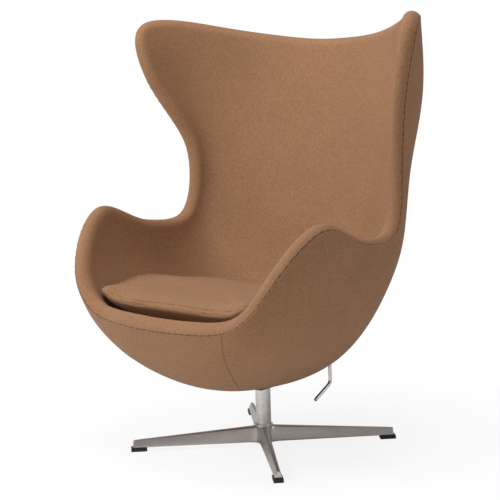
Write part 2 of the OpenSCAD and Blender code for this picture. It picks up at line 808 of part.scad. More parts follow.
module shell_core() {
    low = core_low;
    high = core_low + core_t;
    stand() color([0.82, 0.8, 0.7])
        difference() {
            union() {
                wrap(pole(core_share, high),
                    concat(flats(core_share, high), back(flats(core_share, low))),
                    pole(core_share, low));
                boss_block(0);
            }
            translate([-recess_x, -recess_front, 0])
                cube([2 * recess_x, recess_front + boss_back, seat_z]);
            for (x = [-1, 1], y = [-1, 1])
                translate([x * bolt_x, y * bolt_y, seat_z - 1]) cylinder(d = insert_d, h = insert_len + 1, $fn = 40);
        }
}

module inner_padding() {
    h = rim_half - cover_t;
    high = core_low + core_t;
    stand() color([0.9, 0.86, 0.62])
        difference() {
            wrap(pole(1, h),
                concat(over_rim(h), [flat_ring(shell_rings, 0, -h), flat_ring(shell_rings, core_share, core_low)],
                    back(flats(core_share, high))),
                pole(core_share, high));
            boss_block(0);
        }
}

module outer_padding() {
    h = rim_half - cover_t;
    stand() color([0.85, 0.8, 0.55])
        difference() {
            wrap(pole(core_share, core_low), concat(flats(core_share, core_low), back(flats(0, -h))), pole(0, -h));
            boss_block(0);
            recess();
            lever_slot();
        }
}

module inner_cover() {
    h = rim_half - cover_t;
    stand() color([0.62, 0.46, 0.34])
        wrap(pole(1, rim_half), concat(over_rim(rim_half), back(over_rim(h))), pole(1, h));
}

module outer_cover() {
    h = rim_half - cover_t;
    stand() color([0.58, 0.43, 0.32])
        difference() {
            panel(up_to_seam(h), up_to_seam(rim_half), pole(0, -h), pole(0, -rim_half), 0, back_steps);
            recess();
            lever_slot();
        }
}

module front_panel() {
    h = rim_half - cover_t;
    stand() color([0.55, 0.4, 0.3])
        difference() {
            panel(up_to_seam(h), up_to_seam(rim_half), pole(0, -h), pole(0, -rim_half), back_steps, lip_steps);
            recess();
        }
}

module rim_stitching() {
    stand() color([0.3, 0.2, 0.14])
        loop_cord(nose_ring(seam_turn, 0, rim_half + thread_d / 2 + touch), thread_d, 6);
}

// the cushion: its underside follows the seat, its top is crowned, its side stands up
function cushion_uv(r, a) =
    let (k = r * soft(a, 2 + (sin(a) < 0 ? cushion_power : 3) * r * r))
    let (s = k * sin(a))
    [cushion_u * k * cos(a) * (1 + (s < 0 ? cushion_flare * s * s : 0)), cushion_v + cushion_dv * s, s];
function cushion_low(r, a, grow) =
    let (q = cushion_uv(r, a))
    let (f = max(0, -q[2] - 0.3) / 0.7)
    let (w = max(0, 1 - pow(q[0] / cushion_u, 2)))
    at([q[0], q[1]], 1, rim_half + cushion_gap) + [0, 0, cushion_lift * f * f * w + 2 * pow(r, 10) + grow];
function cushion_side(a) = cushion_thin + (cushion_edge - cushion_thin) * pow(max(0, -sin(a)), 2);
function cushion_high(r, a, grow) =
    let (p = cushion_low(r, a, 0))
    let (side_z = cushion_low(1, a, 0)[2] + cushion_side(a))
    let (mid_z = cushion_low(0.0001, 0, 0)[2] + cushion_mid - cushion_rise)
    [p[0], p[1], mid_z * (1 - r * r) + side_z * r * r + cushion_rise * sqrt(max(0, 1 - pow(r, 6))) - grow];
foam_share = 1 - case_t / cushion_reach;
function low_rings(s, grow) =
    [for (r = cushion_rings) [for (a = cushion_dirs) cushion_low(r * s, a, grow)]];
function high_rings(s, grow) =
    [for (r = cushion_rings) [for (a = cushion_dirs) cushion_high(r * s, a, grow)]];

module cushion_foam() {
    stand() color([0.92, 0.88, 0.66])
        wrap(cushion_high(0.0001, 0, case_t),
            concat(high_rings(foam_share, case_t), back(low_rings(foam_share, case_t))),
            cushion_low(0.0001, 0, case_t));
}

module cushion_top_cover() {
    n = len(cushion_rings) - 1;
    stand() color([0.68, 0.52, 0.39])
        wrap(cushion_high(0.0001, 0, 0),
            concat(high_rings(1, 0), [low_rings(1, 0)[n]], [low_rings(foam_share, case_t)[n]],
                back(high_rings(foam_share, case_t))),
            cushion_high(0.0001, 0, case_t));
}

module cushion_under_cover() {
    stand() color([0.6, 0.45, 0.34])
        wrap(cushion_low(0.0001, 0, case_t),
            concat(low_rings(foam_share, case_t), back(low_rings(1, 0))),
            cushion_low(0.0001, 0, 0));
}

module cushion_stitching() {
    stand() color([0.4, 0.28, 0.2])
        loop_cord([for (a = cushion_dirs) cushion_high(0.95, a, -thread_d / 2 - 0.6)], thread_d, 6);
}

star_base();
glide_front_left();
glide_front_right();
glide_back_left();
glide_back_right();
glide_screws();
hub_screw();
column_tube();
column_collar();
upper_bush();
lower_bush();
thrust_washer();
spindle();
spindle_clip();
spindle_washer();
tilt_housing();
housing_screws();
pivot_shaft();
pivot_clips();
front_buffers();
rear_stops();
lock_block();
seat_plate();
pivot_bushes();
seat_bolts();
threaded_inserts();
tilt_spring();
lever_bracket();
lever_bushes();
pawl_guide();
lock_pawl();
lever_rod();
lock_arm();
shell_core();
inner_padding();
outer_padding();
inner_cover();
outer_cover();
front_panel();
rim_stitching();
cushion_foam();
cushion_top_cover();
cushion_under_cover();
cushion_stitching();
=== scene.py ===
"""Looks of the egg shaped lounge chair, built round its packed construction model.

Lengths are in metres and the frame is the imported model's: X to the viewer's right from the
front, Y to the back of the chair, Z up from the floor.
"""

import json
from math import ceil, cos, exp, pi, radians, sin, sqrt

import bmesh
import bpy
from bpy.props import FloatProperty, FloatVectorProperty, PointerProperty
from mathutils import Matrix, Vector, noise
from mathutils.bvhtree import BVHTree
from mathutils.kdtree import KDTree


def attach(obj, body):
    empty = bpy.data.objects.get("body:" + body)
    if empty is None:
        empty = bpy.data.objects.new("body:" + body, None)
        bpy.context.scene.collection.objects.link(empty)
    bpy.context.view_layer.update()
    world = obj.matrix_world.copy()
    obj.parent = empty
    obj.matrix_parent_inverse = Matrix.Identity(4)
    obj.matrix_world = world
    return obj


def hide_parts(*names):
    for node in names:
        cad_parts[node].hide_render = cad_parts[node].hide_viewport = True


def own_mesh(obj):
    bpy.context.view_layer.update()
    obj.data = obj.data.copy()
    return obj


bl_info = {
    "name": "Egg Lounge Chair",
    "version": (1, 0, 0),
    "blender": (4, 5, 0),
    "location": "3D View > Sidebar > Chair",
    "description": "Builds the felt, cushion, stitches, base and studio of an egg shaped lounge chair",
    "category": "Add Mesh",
}

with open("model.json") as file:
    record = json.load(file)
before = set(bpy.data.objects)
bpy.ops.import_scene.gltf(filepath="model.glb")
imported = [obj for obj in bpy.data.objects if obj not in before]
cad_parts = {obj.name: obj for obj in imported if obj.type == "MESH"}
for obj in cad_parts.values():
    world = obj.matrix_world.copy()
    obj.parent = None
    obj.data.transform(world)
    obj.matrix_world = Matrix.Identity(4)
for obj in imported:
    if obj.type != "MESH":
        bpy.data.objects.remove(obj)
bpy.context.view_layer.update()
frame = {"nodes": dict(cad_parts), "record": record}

# Places taken from the construction model
COLUMN_Y = 0.0257
SEAT_Z = 0.21
GLIDE_H = 0.01

# The shell from the seat lip up to the top edge of the back, heights from the seat plate:
# outer middle y z, seat side middle y z, edge x y z, two handle lengths, edge handle x y z
STATIONS = [
    (-0.365, 0.164, -0.365, 0.164, 0.228, -0.352, 0.190, 0.110, 0.110, -0.056, -0.008, -0.014),
    (-0.280, 0.032, -0.260, 0.108, 0.301, -0.320, 0.295, 0.155, 0.160, 0.000, 0.010, -0.170),
    (-0.115, -0.022, -0.100, 0.100, 0.354, -0.200, 0.395, 0.190, 0.200, 0.005, 0.010, -0.260),
    (0.078, -0.002, 0.065, 0.095, 0.351, -0.040, 0.345, 0.196, 0.180, 0.005, 0.020, -0.220),
    (0.206, 0.151, 0.170, 0.180, 0.335, 0.085, 0.360, 0.206, 0.180, 0.000, 0.060, -0.090),
    (0.252, 0.360, 0.230, 0.370, 0.335, 0.105, 0.530, 0.210, 0.190, 0.010, 0.095, -0.030),
    (0.290, 0.580, 0.270, 0.580, 0.405, 0.024, 0.710, 0.236, 0.220, 0.010, 0.160, -0.010),
    (0.305, 0.798, 0.305, 0.798, 0.482, -0.046, 0.904, 0.220, 0.220, -0.084, 0.200, -0.040),
]
POLE_V = 0.32
FRONT_POWER = 4
TOP_POWER = 8
RIM_HALF = 0.021
SEAM_TURN = radians(22)

# The front panel's right seam on the rim, and how far and how fast the seams draw in below it
PANEL_WAY = radians(-52)
PANEL_DRIFT = 2.5
PANEL_DRIFT_FALL = 0.13

# Directions round the rim behind and in front of the panel's seams, and rings of the flat part
BACK_WAYS = 252
FRONT_WAYS = 52
FLAT_RINGS = 30

# How far the felt's face rises and falls, and a point among the sitter's space
RIPPLE = 0.0011
SITTER = Vector((0, -0.05, 0.75))

# The cushion's place in the seat, as shares of the shell's width and length, and its sizes
CUSHION_U = 0.655
CUSHION_V = 0.272
CUSHION_DV = 0.22
CUSHION_FLARE = 0.31
CUSHION_GAP = 0.0035
CUSHION_FRONT_POWER = 12
CUSHION_BACK_POWER = 1.8
CUSHION_LIFT = 0.017
CUSHION_LIFT_FROM = 0.3
CUSHION_TUCK = 0.002
CUSHION_EDGE = 0.01
CUSHION_THIN = 0.003
CUSHION_RISE = 0.014
CUSHION_MID = 0.078

# Openings in the underside for the mechanism and the lever, from the column: x and y limits
RECESS = (-0.085, 0.085, -0.105, 0.125)
LEVER_SLOT = (0.084, 0.1435, 0.084, 0.12)
NEAR_OPENINGS = (-0.09, 0.15, -0.11, 0.13)
UNDERSIDE_Z = 0.3


def handle_rows(v):
    """One station of the shell between the given ones."""
    last = len(STATIONS) - 1
    t = max(0.0, min(1.0, v)) * last
    i = min(int(t), last - 1)
    f = t - i
    b, c = STATIONS[i], STATIONS[i + 1]
    a = STATIONS[i - 1] if i > 0 else [2 * p - q for p, q in zip(b, c)]
    d = STATIONS[i + 2] if i < last - 1 else [2 * q - p for p, q in zip(b, c)]
    return [q + 0.5 * f * ((r - p) + f * ((2 * p - 5 * q + 4 * r - s) + f * (3 * q - p - 3 * r + s)))
            for p, q, r, s in zip(a, b, c, d)]


def shell_point(u, v, side):
    """A point of the shell's middle face: side 0 is the outer one, 1 the sitter's."""
    r = handle_rows(v)
    s = abs(u)
    w = 1 - s
    c = Vector((0, r[0] + (r[2] - r[0]) * side, r[1] + (r[3] - r[1]) * side))
    h = c + Vector((r[7] + (r[8] - r[7]) * side, 0, 0))
    g = Vector(r[4:7])
    k = g + Vector(r[9:12])
    p = w ** 3 * c + 3 * w * w * s * h + 3 * w * s * s * k + s ** 3 * g
    return Vector((-p.x if u < 0 else p.x, p.y + COLUMN_Y, p.z + SEAT_Z))


def slopes(u, v, side):
    """How the face runs across and along the shell at a point."""
    step = 0.002
    a, b = max(0, v - step), min(1, v + step)
    return ((shell_point(u + step, v, side) - shell_point(u - step, v, side)) / (2 * step),
            (shell_point(u, b, side) - shell_point(u, a, side)) / (b - a))


def off_face(uv, side, off):
    """A point off the middle face, towards the sitter where off is positive."""
    across, along = slopes(uv[0], uv[1], side)
    return shell_point(uv[0], uv[1], side) + off * across.cross(along).normalized()


def soft_power(a, p):
    return (abs(cos(a)) ** p + abs(sin(a)) ** p) ** (-1 / p)


def rim_uv(a):
    k = soft_power(a, FRONT_POWER if sin(a) < 0 else TOP_POWER)
    s = k * sin(a)
    return k * cos(a), POLE_V + s * (POLE_V if s < 0 else 1 - POLE_V)


def inside_rim(a, distance):
    """The place a given distance inside the rim's tip in direction a."""
    u, v = rim_uv(a)
    across, along = slopes(u, v, 0)
    step = radians(0.5)
    w = across.cross(along).cross(shell_point(*rim_uv(a + step), 0) - shell_point(*rim_uv(a - step), 0))
    w = w.normalized() * distance / 3
    for _ in range(3):
        x, y = slopes(u, v, 0)
        d = x.dot(x) * y.dot(y) - x.dot(y) ** 2
        u, v = (u + (y.dot(y) * x.dot(w) - x.dot(y) * y.dot(w)) / d,
                v + (x.dot(x) * y.dot(w) - x.dot(y) * x.dot(w)) / d)
    return u, v


def lengths_along(points):
    """The distance from the first point to each point of a line."""
    run = [0.0]
    for p, q in zip(points, points[1:]):
        run.append(run[-1] + (q - p).length)
    return run


def evenly(angles, run, count):
    """Directions at even distances along a line, from its directions and the distances along it."""
    out, j = [], 0
    for i in range(count):
        want = run[-1] * i / count
        while run[j + 1] < want:
            j += 1
        out.append(angles[j] + (angles[j + 1] - angles[j]) * (want - run[j]) / (run[j + 1] - run[j]))
    return out


def rim_ways(start, end, count):
    """Directions from start to end, evenly spaced along the rim."""
    fine = count * 6
    angles = [start + (end - start) * i / fine for i in range(fine + 1)]
    return evenly(angles, lengths_along([shell_point(*rim_uv(a), 0) for a in angles]), count)


WAYS = (rim_ways(PANEL_WAY, pi - PANEL_WAY, BACK_WAYS)
        + rim_ways(pi - PANEL_WAY, 2 * pi + PANEL_WAY, FRONT_WAYS))
BENDS = [inside_rim(a, RIM_HALF) for a in WAYS]


def bend_at(place):
    """The rim's bend at a place counted in ways, also between two of them."""
    i = int(place // 1)
    f = place - i
    a, b = BENDS[i % len(BENDS)], BENDS[(i + 1) % len(BENDS)]
    return a[0] + (b[0] - a[0]) * f, a[1] + (b[1] - a[1]) * f


def drifted(k, share):
    """A way's place on a ring, where the front panel's seams draw in towards the middle below the rim."""
    d = PANEL_DRIFT * (1 - exp((share - 1) / PANEL_DRIFT_FALL))
    if k <= BACK_WAYS:
        return k * (BACK_WAYS + 2 * d) / BACK_WAYS - d
    return BACK_WAYS + d + (k - BACK_WAYS) * (FRONT_WAYS - 2 * d) / FRONT_WAYS


def shared(q, share, side, off):
    return off_face((q[0] * share, POLE_V + (q[1] - POLE_V) * share), side, off)


def flat_ring(share, side, off):
    """A ring of the flat part, at a share of the way from its middle to the rim's roll."""
    if side == 1:
        return [shared(q, share, side, off) for q in BENDS]
    return [shared(bend_at(drifted(k, share)), share, side, off) for k in range(len(BENDS))]


def roll_ring(turn, side, half=RIM_HALF, ways=WAYS):
    """A ring on the rim's round roll, turn counted from the face to the tip."""
    sign = 1 if side == 1 else -1
    return [off_face(inside_rim(a, RIM_HALF - half * sin(turn)), side, sign * half * cos(turn)) for a in ways]


def ripple(p, size):
    """A slow rise and fall of a sewn cover, the same at each run."""
    return RIPPLE * noise.noise(p / size)


# Mesh building

def smoothed(obj, levels):
    sub = obj.modifiers.new("Smooth", "SUBSURF")
    sub.levels = sub.render_levels = levels


def finish_mesh(name, bm, smooth=True, levels=0):
    bmesh.ops.remove_doubles(bm, verts=bm.verts[:], dist=1e-6)
    mesh = bpy.data.meshes.new(name)
    bm.to_mesh(mesh)
    bm.free()
    mesh.polygons.foreach_set("use_smooth", [smooth] * len(mesh.polygons))
    obj = bpy.data.objects.new(name, mesh)
    bpy.context.scene.collection.objects.link(obj)
    if levels:
        smoothed(obj, levels)
    return obj


def loop_edges(bm, loop):
    return [bm.edges.get(pair) for pair in zip(loop, loop[1:] + loop[:1])]


def close_end(bm, loop):
    """Closes a ring with one face and gives back the face."""
    return bmesh.ops.contextual_create(bm, geom=loop_edges(bm, loop))["faces"]


def first_ring(bm, points):
    loop = list(bmesh.ops.create_circle(bm, cap_ends=False, segments=len(points), radius=1)["verts"])
    for v, p in zip(loop, points):
        v.co = p
    return loop


def drawn_out(bm, edges):
    """Extrudes edges and gives back the new edges and the new corners."""
    made = bmesh.ops.extrude_edge_only(bm, edges=edges)["geom"]
    return ([g for g in made if isinstance(g, bmesh.types.BMEdge)],
            {g for g in made if isinstance(g, bmesh.types.BMVert)})


def new_neighbour(v, fresh):
    return next(e.other_vert(v) for e in v.link_edges if e.other_vert(v) in fresh)


def grow(bm, loop, points):
    """Carries a ring of edges on to new points and gives back the new ring."""
    fresh = drawn_out(bm, loop_edges(bm, loop))[1]
    row = [new_neighbour(v, fresh) for v in loop]
    for v, p in zip(row, points):
        v.co = p
    return row


def closed_tube(bm, rings):
    """A skin through rings, closed at both ends."""
    start = loop = first_ring(bm, rings[0])
    for ring in rings[1:]:
        loop = grow(bm, loop, ring)
    for end in (start, loop):
        close_end(bm, end)


def ring_skin(rings, first, last=None, way=False):
    """A skin through closed rings, with a point in the middle of its first and, if given, its last ring."""
    bm = bmesh.new()
    layer = bm.verts.layers.int.new("way") if way else None
    bmesh.ops.create_circle(bm, cap_ends=True, cap_tris=True, segments=len(rings[0]), radius=1)
    loop = [v for v in bm.verts if v.co.length > 0.5]
    for v in bm.verts:
        if v.co.length < 0.5:
            v.co = first
    for v, p in zip(loop, rings[0]):
        v.co = p
    rows = [loop]
    for ring in rings[1:]:
        rows.append(grow(bm, rows[-1], ring))
    if last is not None:
        bmesh.ops.poke(bm, faces=close_end(bm, rows[-1]))["verts"][0].co = last
    if way:
        for v in bm.verts:
            v[layer] = -1
        for row in rows:
            for k, v in enumerate(row):
                v[layer] = k
    return bm


def face_towards(bm, point, inside):
    """Turns all faces the same way: towards a point if inside is true, otherwise away from it."""
    bmesh.ops.recalc_face_normals(bm, faces=bm.faces[:])
    total = sum((point - f.calc_center_median()).dot(f.normal) * f.calc_area() for f in bm.faces)
    if (total > 0) != inside:
        bmesh.ops.reverse_faces(bm, faces=bm.faces[:])


# How far a sewn edge of felt is drawn back, and its steps outwards and down into the seam
EDGE_BACK = 0.0001
EDGE_STEPS = ((0.0002, -0.0006), (0.0, -0.003))


def turn_in(bm, edges):
    """Rolls the felt's edge over and down into the seam, in steps outwards and down."""
    edges = list(edges)
    verts = list({v for e in edges for v in e.verts})
    bm.normal_update()
    rim = set(edges)
    out, normal = {}, {}
    for v in verts:
        inner = [e.other_vert(v) for e in v.link_edges if e not in rim and not e.is_boundary]
        t = v.co - sum((w.co for w in inner), Vector()) / len(inner) if inner else Vector()
        normal[v] = v.normal.copy()
        t -= normal[v] * t.dot(normal[v])
        out[v] = t.normalized()
    for v in verts:
        v.co -= out[v] * EDGE_BACK
    for t_step, n_step in EDGE_STEPS:
        edges, fresh = drawn_out(bm, edges)
        nxt_out, nxt_normal = {}, {}
        for v in out:
            w = new_neighbour(v, fresh)
            w.co = v.co + out[v] * t_step + normal[v] * n_step
            nxt_out[w], nxt_normal[w] = out[v], normal[v]
        out, normal = nxt_out, nxt_normal


def stitch_row(name, stitches, thick):
    """Short thread stitches: each has a middle, a way along, a way up and a length."""
    one = bmesh.new()
    lying = Matrix.Rotation(pi / 2, 4, "Y")
    bmesh.ops.create_uvsphere(one, u_segments=6, v_segments=4, radius=1, matrix=lying)
    shape = bpy.data.meshes.new("stitch_shape")
    one.to_mesh(shape)
    one.free()
    bm = bmesh.new()
    for middle, along, up, length in stitches:
        along = along.normalized()
        up = (up - along * up.dot(along)).normalized()
        turn = Matrix((along, up.cross(along), up)).transposed().to_4x4()
        place = Matrix.Translation(middle) @ turn @ Matrix.Diagonal((length / 2, thick / 2, thick / 2, 1))
        stitch = shape.copy()
        stitch.transform(place)
        bm.from_mesh(stitch)
        bpy.data.meshes.remove(stitch)
    bpy.data.meshes.remove(shape)
    return finish_mesh(name, bm)


# Materials

class Value:
    """A value inside a material that takes the usual arithmetic."""

    def __init__(self, paint, socket):
        self.paint, self.socket = paint, socket

    def _math(self, kind, a, b):
        return self.paint.node("ShaderNodeMath", {"operation": kind}, {0: a, 1: b})

    def __add__(self, o):
        return self._math("ADD", self, o)

    def __mul__(self, o):
        return self._math("MULTIPLY", self, o)

    def __pow__(self, o):
        return self._math("POWER", self, o)

    def __radd__(self, o):
        return self._math("ADD", o, self)

    def __rmul__(self, o):
        return self._math("MULTIPLY", o, self)


class Paint:
    """One material and the nodes inside it."""

    def __init__(self, name):
        self.material = bpy.data.materials.new(name)
        self.material.use_nodes = True
        self.tree = self.material.node_tree
        self.tree.nodes.clear()
        self.place = self.node("ShaderNodeTexCoord", output="Object")

    def node(self, kind, settings=None, inputs=None, output=0):
        made = self.tree.nodes.new(kind)
        for key, value in (settings or {}).items():
            setattr(made, key, value)
        for key, value in (inputs or {}).items():
            if isinstance(value, Value):
                self.tree.links.new(value.socket, made.inputs[key])
            elif made.inputs[key].type == "VECTOR":
                made.inputs[key].default_value = value[:3]
            else:
                made.inputs[key].default_value = value
        return Value(self, made.outputs[output])

    def stretched(self, size):
        return self.node("ShaderNodeMapping", {}, {"Vector": self.place, "Scale": size})

    def noise(self, scale, detail=2, rough=0.5, at=None):
        return self.node("ShaderNodeTexNoise", {},
                         {"Vector": at or self.place, "Scale": scale, "Detail": detail, "Roughness": rough})

    def ramp(self, value, low, high, to_low=0.0, to_high=1.0):
        return self.node("ShaderNodeMapRange", {"clamp": True},
                         {0: value, 1: low, 2: high, 3: to_low, 4: to_high})

    def mix(self, share, a, b):
        return self.node("ShaderNodeMix", {"data_type": "RGBA"}, {0: share, 6: a, 7: b}, output=2)

    def tint(self, colour, value):
        """A colour made lighter or darker by a value round 1."""
        return self.node("ShaderNodeVectorMath", {"operation": "SCALE"}, {0: colour, 3: value})

    def bump(self, height, distance, strength=1.0):
        return self.node("ShaderNodeBump", {}, {"Height": height, "Distance": distance, "Strength": strength})

    def finish(self, inputs):
        shader = self.node("ShaderNodeBsdfPrincipled", {}, inputs)
        self.tree.links.new(shader.socket, self.tree.nodes.new("ShaderNodeOutputMaterial").inputs["Surface"])
        return self.material


def colour4(c):
    return (c[0], c[1], c[2], 1.0)


def felt_material(name, colour, second):
    """Milled wool felt: mottled yarn colours, short fibres and a soft sheen."""
    p = Paint(name)
    cloud = p.noise(7, 3, 0.55)
    mottle = p.noise(230, 3, 0.7)
    fibre = p.noise(900, 2, 0.6, p.stretched((1.0, 0.35, 0.7)))
    thread_a = p.noise(520, 1, 0.5, p.stretched((0.3, 1.0, 1.0)))
    thread_b = p.noise(520, 1, 0.5, p.stretched((1.0, 0.9, 0.3)))
    yarn = thread_a * 0.5 + thread_b * 0.5
    shade = p.ramp(mottle * 0.6 + fibre * 0.4, 0.32, 0.68, 0.8, 1.2) * p.ramp(cloud, 0.3, 0.7, 0.96, 1.04)
    base = p.mix(p.ramp(yarn, 0.4, 0.62), colour4(colour), colour4(second))
    height = mottle * 0.5 + fibre * 0.3 + yarn * 0.2
    return p.finish({
        "Base Color": p.tint(base, shade),
        "Roughness": p.ramp(mottle, 0.3, 0.7, 0.86, 0.97),
        "Specular IOR Level": 0.15,
        "Sheen Weight": 0.1,
        "Sheen Roughness": 0.5,
        "Sheen Tint": colour4([0.6 + 0.4 * c for c in colour]),
        "Normal": p.bump(height, 0.0011, 0.55),
    })


BRUSH_DEPTH = 0.00004


def metal_material(name, colour, rough, brush, fine, smudge):
    """Metal with brush marks along the short side of brush, smudges and slightly uneven gloss."""
    p = Paint(name)
    lines = p.noise(fine, 3, 0.6, p.stretched(brush))
    patch = p.noise(14, 3, 0.6)
    spots = p.noise(90, 2, 0.5)
    tone = p.ramp(lines, 0.25, 0.75, 0.95, 1.04) * p.ramp(patch, 0.3, 0.7, 1 - smudge, 1.0)
    gloss = p.ramp(patch * 0.6 + spots * 0.2 + lines * 0.2, 0.3, 0.7, rough * 0.85, min(1.0, rough * 1.25))
    return p.finish({
        "Base Color": p.tint(colour4(colour), tone),
        "Roughness": gloss,
        "Metallic": 1.0,
        "Normal": p.bump(lines, BRUSH_DEPTH, 0.5),
    })


def plain_material(name, colour, rough, grain, bump, spec):
    """Moulded plastic, rubber, foam or paint with a fine grain."""
    p = Paint(name)
    grains = p.noise(grain, 3, 0.6)
    patch = p.noise(20, 2, 0.5)
    return p.finish({
        "Base Color": p.tint(colour4(colour), p.ramp(patch, 0.3, 0.7, 0.92, 1.06)),
        "Roughness": p.ramp(grains, 0.3, 0.7, rough * 0.88, min(1.0, rough * 1.1)),
        "Specular IOR Level": spec,
        "Normal": p.bump(grains, bump, 0.5),
    })


def thread_material(name, colour):
    """Twisted thread with light and dark turns."""
    p = Paint(name)
    twist = p.noise(1400, 2, 0.5)
    return p.finish({
        "Base Color": p.tint(colour4(colour), p.ramp(twist, 0.3, 0.7, 0.75, 1.25)),
        "Roughness": p.ramp(twist, 0.3, 0.7, 0.7, 0.9),
        "Sheen Weight": 0.2,
        "Normal": p.bump(twist, 0.0003, 0.6),
    })


MADE = {}


def finish_for(slot):
    """The material of one of the record's slots."""
    if slot in MADE:
        return MADE[slot]
    looks = bpy.context.scene.chair_looks
    felt, second = tuple(looks.felt), tuple(looks.felt_second)
    # The underside felt is the same felt made 15 percent darker: painted shade for the felt on undersides.
    underside_painted_shade, underside_painted_shade_second = [0.85 * c for c in felt], [0.85 * c for c in second]
    aluminium, steel = tuple(looks.aluminium), tuple(looks.steel)
    even, drawn = (1, 1, 1), (1, 1, 0.02)
    finishes = {
        "felt": (felt_material, "Wool felt", felt, second),
        "felt_under": (felt_material, "Wool felt, underside", underside_painted_shade, underside_painted_shade_second),
        "thread": (thread_material, "Sewing thread", tuple(looks.thread)),
        "foam": (plain_material, "Moulded foam", (0.78, 0.7, 0.36), 0.95, 600, 0.0006, 0.2),
        "core_shell": (plain_material, "Moulded shell", (0.62, 0.58, 0.44), 0.7, 150, 0.0003, 0.4),
        "base_metal": (metal_material, "Satin aluminium", aluminium, 0.3, even, 160, 0.12),
        "tube_metal": (metal_material, "Satin steel", steel, 0.27, drawn, 420, 0.05),
        "bright_steel": (metal_material, "Ground steel", (0.52, 0.53, 0.55), 0.32, even, 500, 0.05),
        "dark_steel": (plain_material, "Black enamel", (0.025, 0.025, 0.027), 0.5, 260, 0.0002, 0.5),
        "spring_steel": (metal_material, "Oiled spring steel", (0.22, 0.22, 0.24), 0.38, even, 380, 0.08),
        "black_rubber": (plain_material, "Black rubber", (0.012, 0.012, 0.012), 0.75, 500, 0.0002, 0.35),
        "glide_plastic": (plain_material, "Black nylon", (0.01, 0.01, 0.011), 0.45, 350, 0.0001, 0.5),
        "bush_plastic": (plain_material, "White nylon", (0.72, 0.72, 0.68), 0.45, 350, 0.0001, 0.5),
        "brass": (metal_material, "Turned brass", (0.62, 0.45, 0.16), 0.3, even, 420, 0.06),
    }
    maker, *values = finishes[slot]
    MADE[slot] = maker(*values)
    return MADE[slot]


def dress(obj, body, slot, *nodes):
    """Material, body, finish slot and replaced nodes of a finished piece."""
    obj.data.materials.append(finish_for(slot))
    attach(obj, body)
    if nodes:
        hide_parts(*nodes)
    return obj


# Shell covers

LIP_DEPTH = 0.01

# Turn of the rim's roll and lift of the felt beside the seam, on the seat side and on the outer side
SEAT_SIDE_LIPS = ((29, 0.0003), (25, 0.0006), (22.6, 0.0004))
OUTER_SIDE_LIPS = ((6, 0.0002), (11, 0.0006), (15, 0.0012), (18.5, 0.0013), (21.4, 0.0006))


def flat_rings(side, off):
    """All rings of the flat part, a little closer together towards the rim."""
    return [flat_ring((i / FLAT_RINGS) ** 0.9, side, off) for i in range(1, FLAT_RINGS + 1)]


def lip_rings(lips):
    return [roll_ring(radians(t), 0, RIM_HALF + lift) for t, lift in lips]


def smooth_step(x, low, high):
    t = max(0.0, min(1.0, (x - low) / (high - low)))
    return t * t * (3 - 2 * t)


def lip_press(p, normal):
    """How far the sitter's side sinks behind the seat lip, where the cushion's front edge hangs over it."""
    return (LIP_DEPTH * smooth_step(normal.y, -0.75, 0.3) * smooth_step(-p.y, 0.17, 0.25)
            * smooth_step(-abs(p.x), -0.27, -0.19))


def seat_side_felt():
    """The felt over the sitter's side, round the rim's roll and down to the seam."""
    rings = flat_rings(1, RIM_HALF)
    rings += [roll_ring(radians(t), 1) for t in (15, 30, 45, 60, 75, 90)]
    rings += [roll_ring(radians(t), 0) for t in (75, 60, 45, 35)]
    bm = ring_skin(rings + lip_rings(SEAT_SIDE_LIPS), first=off_face((0.0, POLE_V), 1, RIM_HALF))
    face_towards(bm, SITTER, True)
    for v in bm.verts:
        v.co += v.normal * (ripple(v.co, 0.11) - lip_press(v.co, v.normal))
    turn_in(bm, [e for e in bm.edges if e.is_boundary])
    return finish_mesh("seat_side_felt", bm, levels=1)


def outer_skin():
    """The whole outer side from the middle of the underside to the rim's seam."""
    rings = flat_rings(0, -RIM_HALF) + lip_rings(OUTER_SIDE_LIPS)
    bm = ring_skin(rings, first=off_face((0.0, POLE_V), 0, -RIM_HALF), way=True)
    face_towards(bm, SITTER, False)
    for v in bm.verts:
        v.co += v.normal * ripple(v.co, 0.13)
    return bm


def keep_ways(bm, front):
    """Keeps the front panel or the rest of the outer skin."""
    layer = bm.verts.layers.int["way"]
    total = BACK_WAYS + FRONT_WAYS
    gone = []
    for f in bm.faces:
        ks = [v[layer] for v in f.verts if v[layer] >= 0]
        if max(ks) - min(ks) > total / 2:
            ks = [k + total if k < total / 2 else k for k in ks]
        if (min(ks) >= BACK_WAYS) != front:
            gone.append(f)
    bmesh.ops.delete(bm, geom=gone, context="FACES")


def underside_faces(bm, limits, spare):
    """Faces of the underside within limits counted from the column, with some room to spare."""
    x0, x1, y0, y1 = limits
    found = []
    for f in bm.faces:
        m = f.calc_center_median()
        if (m.z < UNDERSIDE_Z and x0 - spare < m.x < x1 + spare
                and y0 + COLUMN_Y - spare < m.y < y1 + COLUMN_Y + spare):
            found.append(f)
    return found


def cut_opening(bm, limits):
    """Cuts a square opening in the underside, limits counted from the column."""
    x0, x1, y0, y1 = limits
    cuts = [((x, 0, 0), (1, 0, 0)) for x in (x0, x1)]
    cuts += [((0, y + COLUMN_Y, 0), (0, 1, 0)) for y in (y0, y1)]
    for point, way in cuts:
        near = underside_faces(bm, limits, 0.03)
        geom = near + list({e for f in near for e in f.edges}) + list({v for f in near for v in f.verts})
        bmesh.ops.bisect_plane(bm, geom=geom, dist=1e-5, plane_co=point, plane_no=way)
    bmesh.ops.delete(bm, geom=underside_faces(bm, limits, 0), context="FACES")


def near_opening(edge):
    """Whether an open edge belongs to the recess or to the lever's slot beside it."""
    m = (edge.verts[0].co + edge.verts[1].co) / 2
    x0, x1, y0, y1 = NEAR_OPENINGS
    return m.z < UNDERSIDE_Z and x0 < m.x < x1 and y0 + COLUMN_Y < m.y < y1 + COLUMN_Y


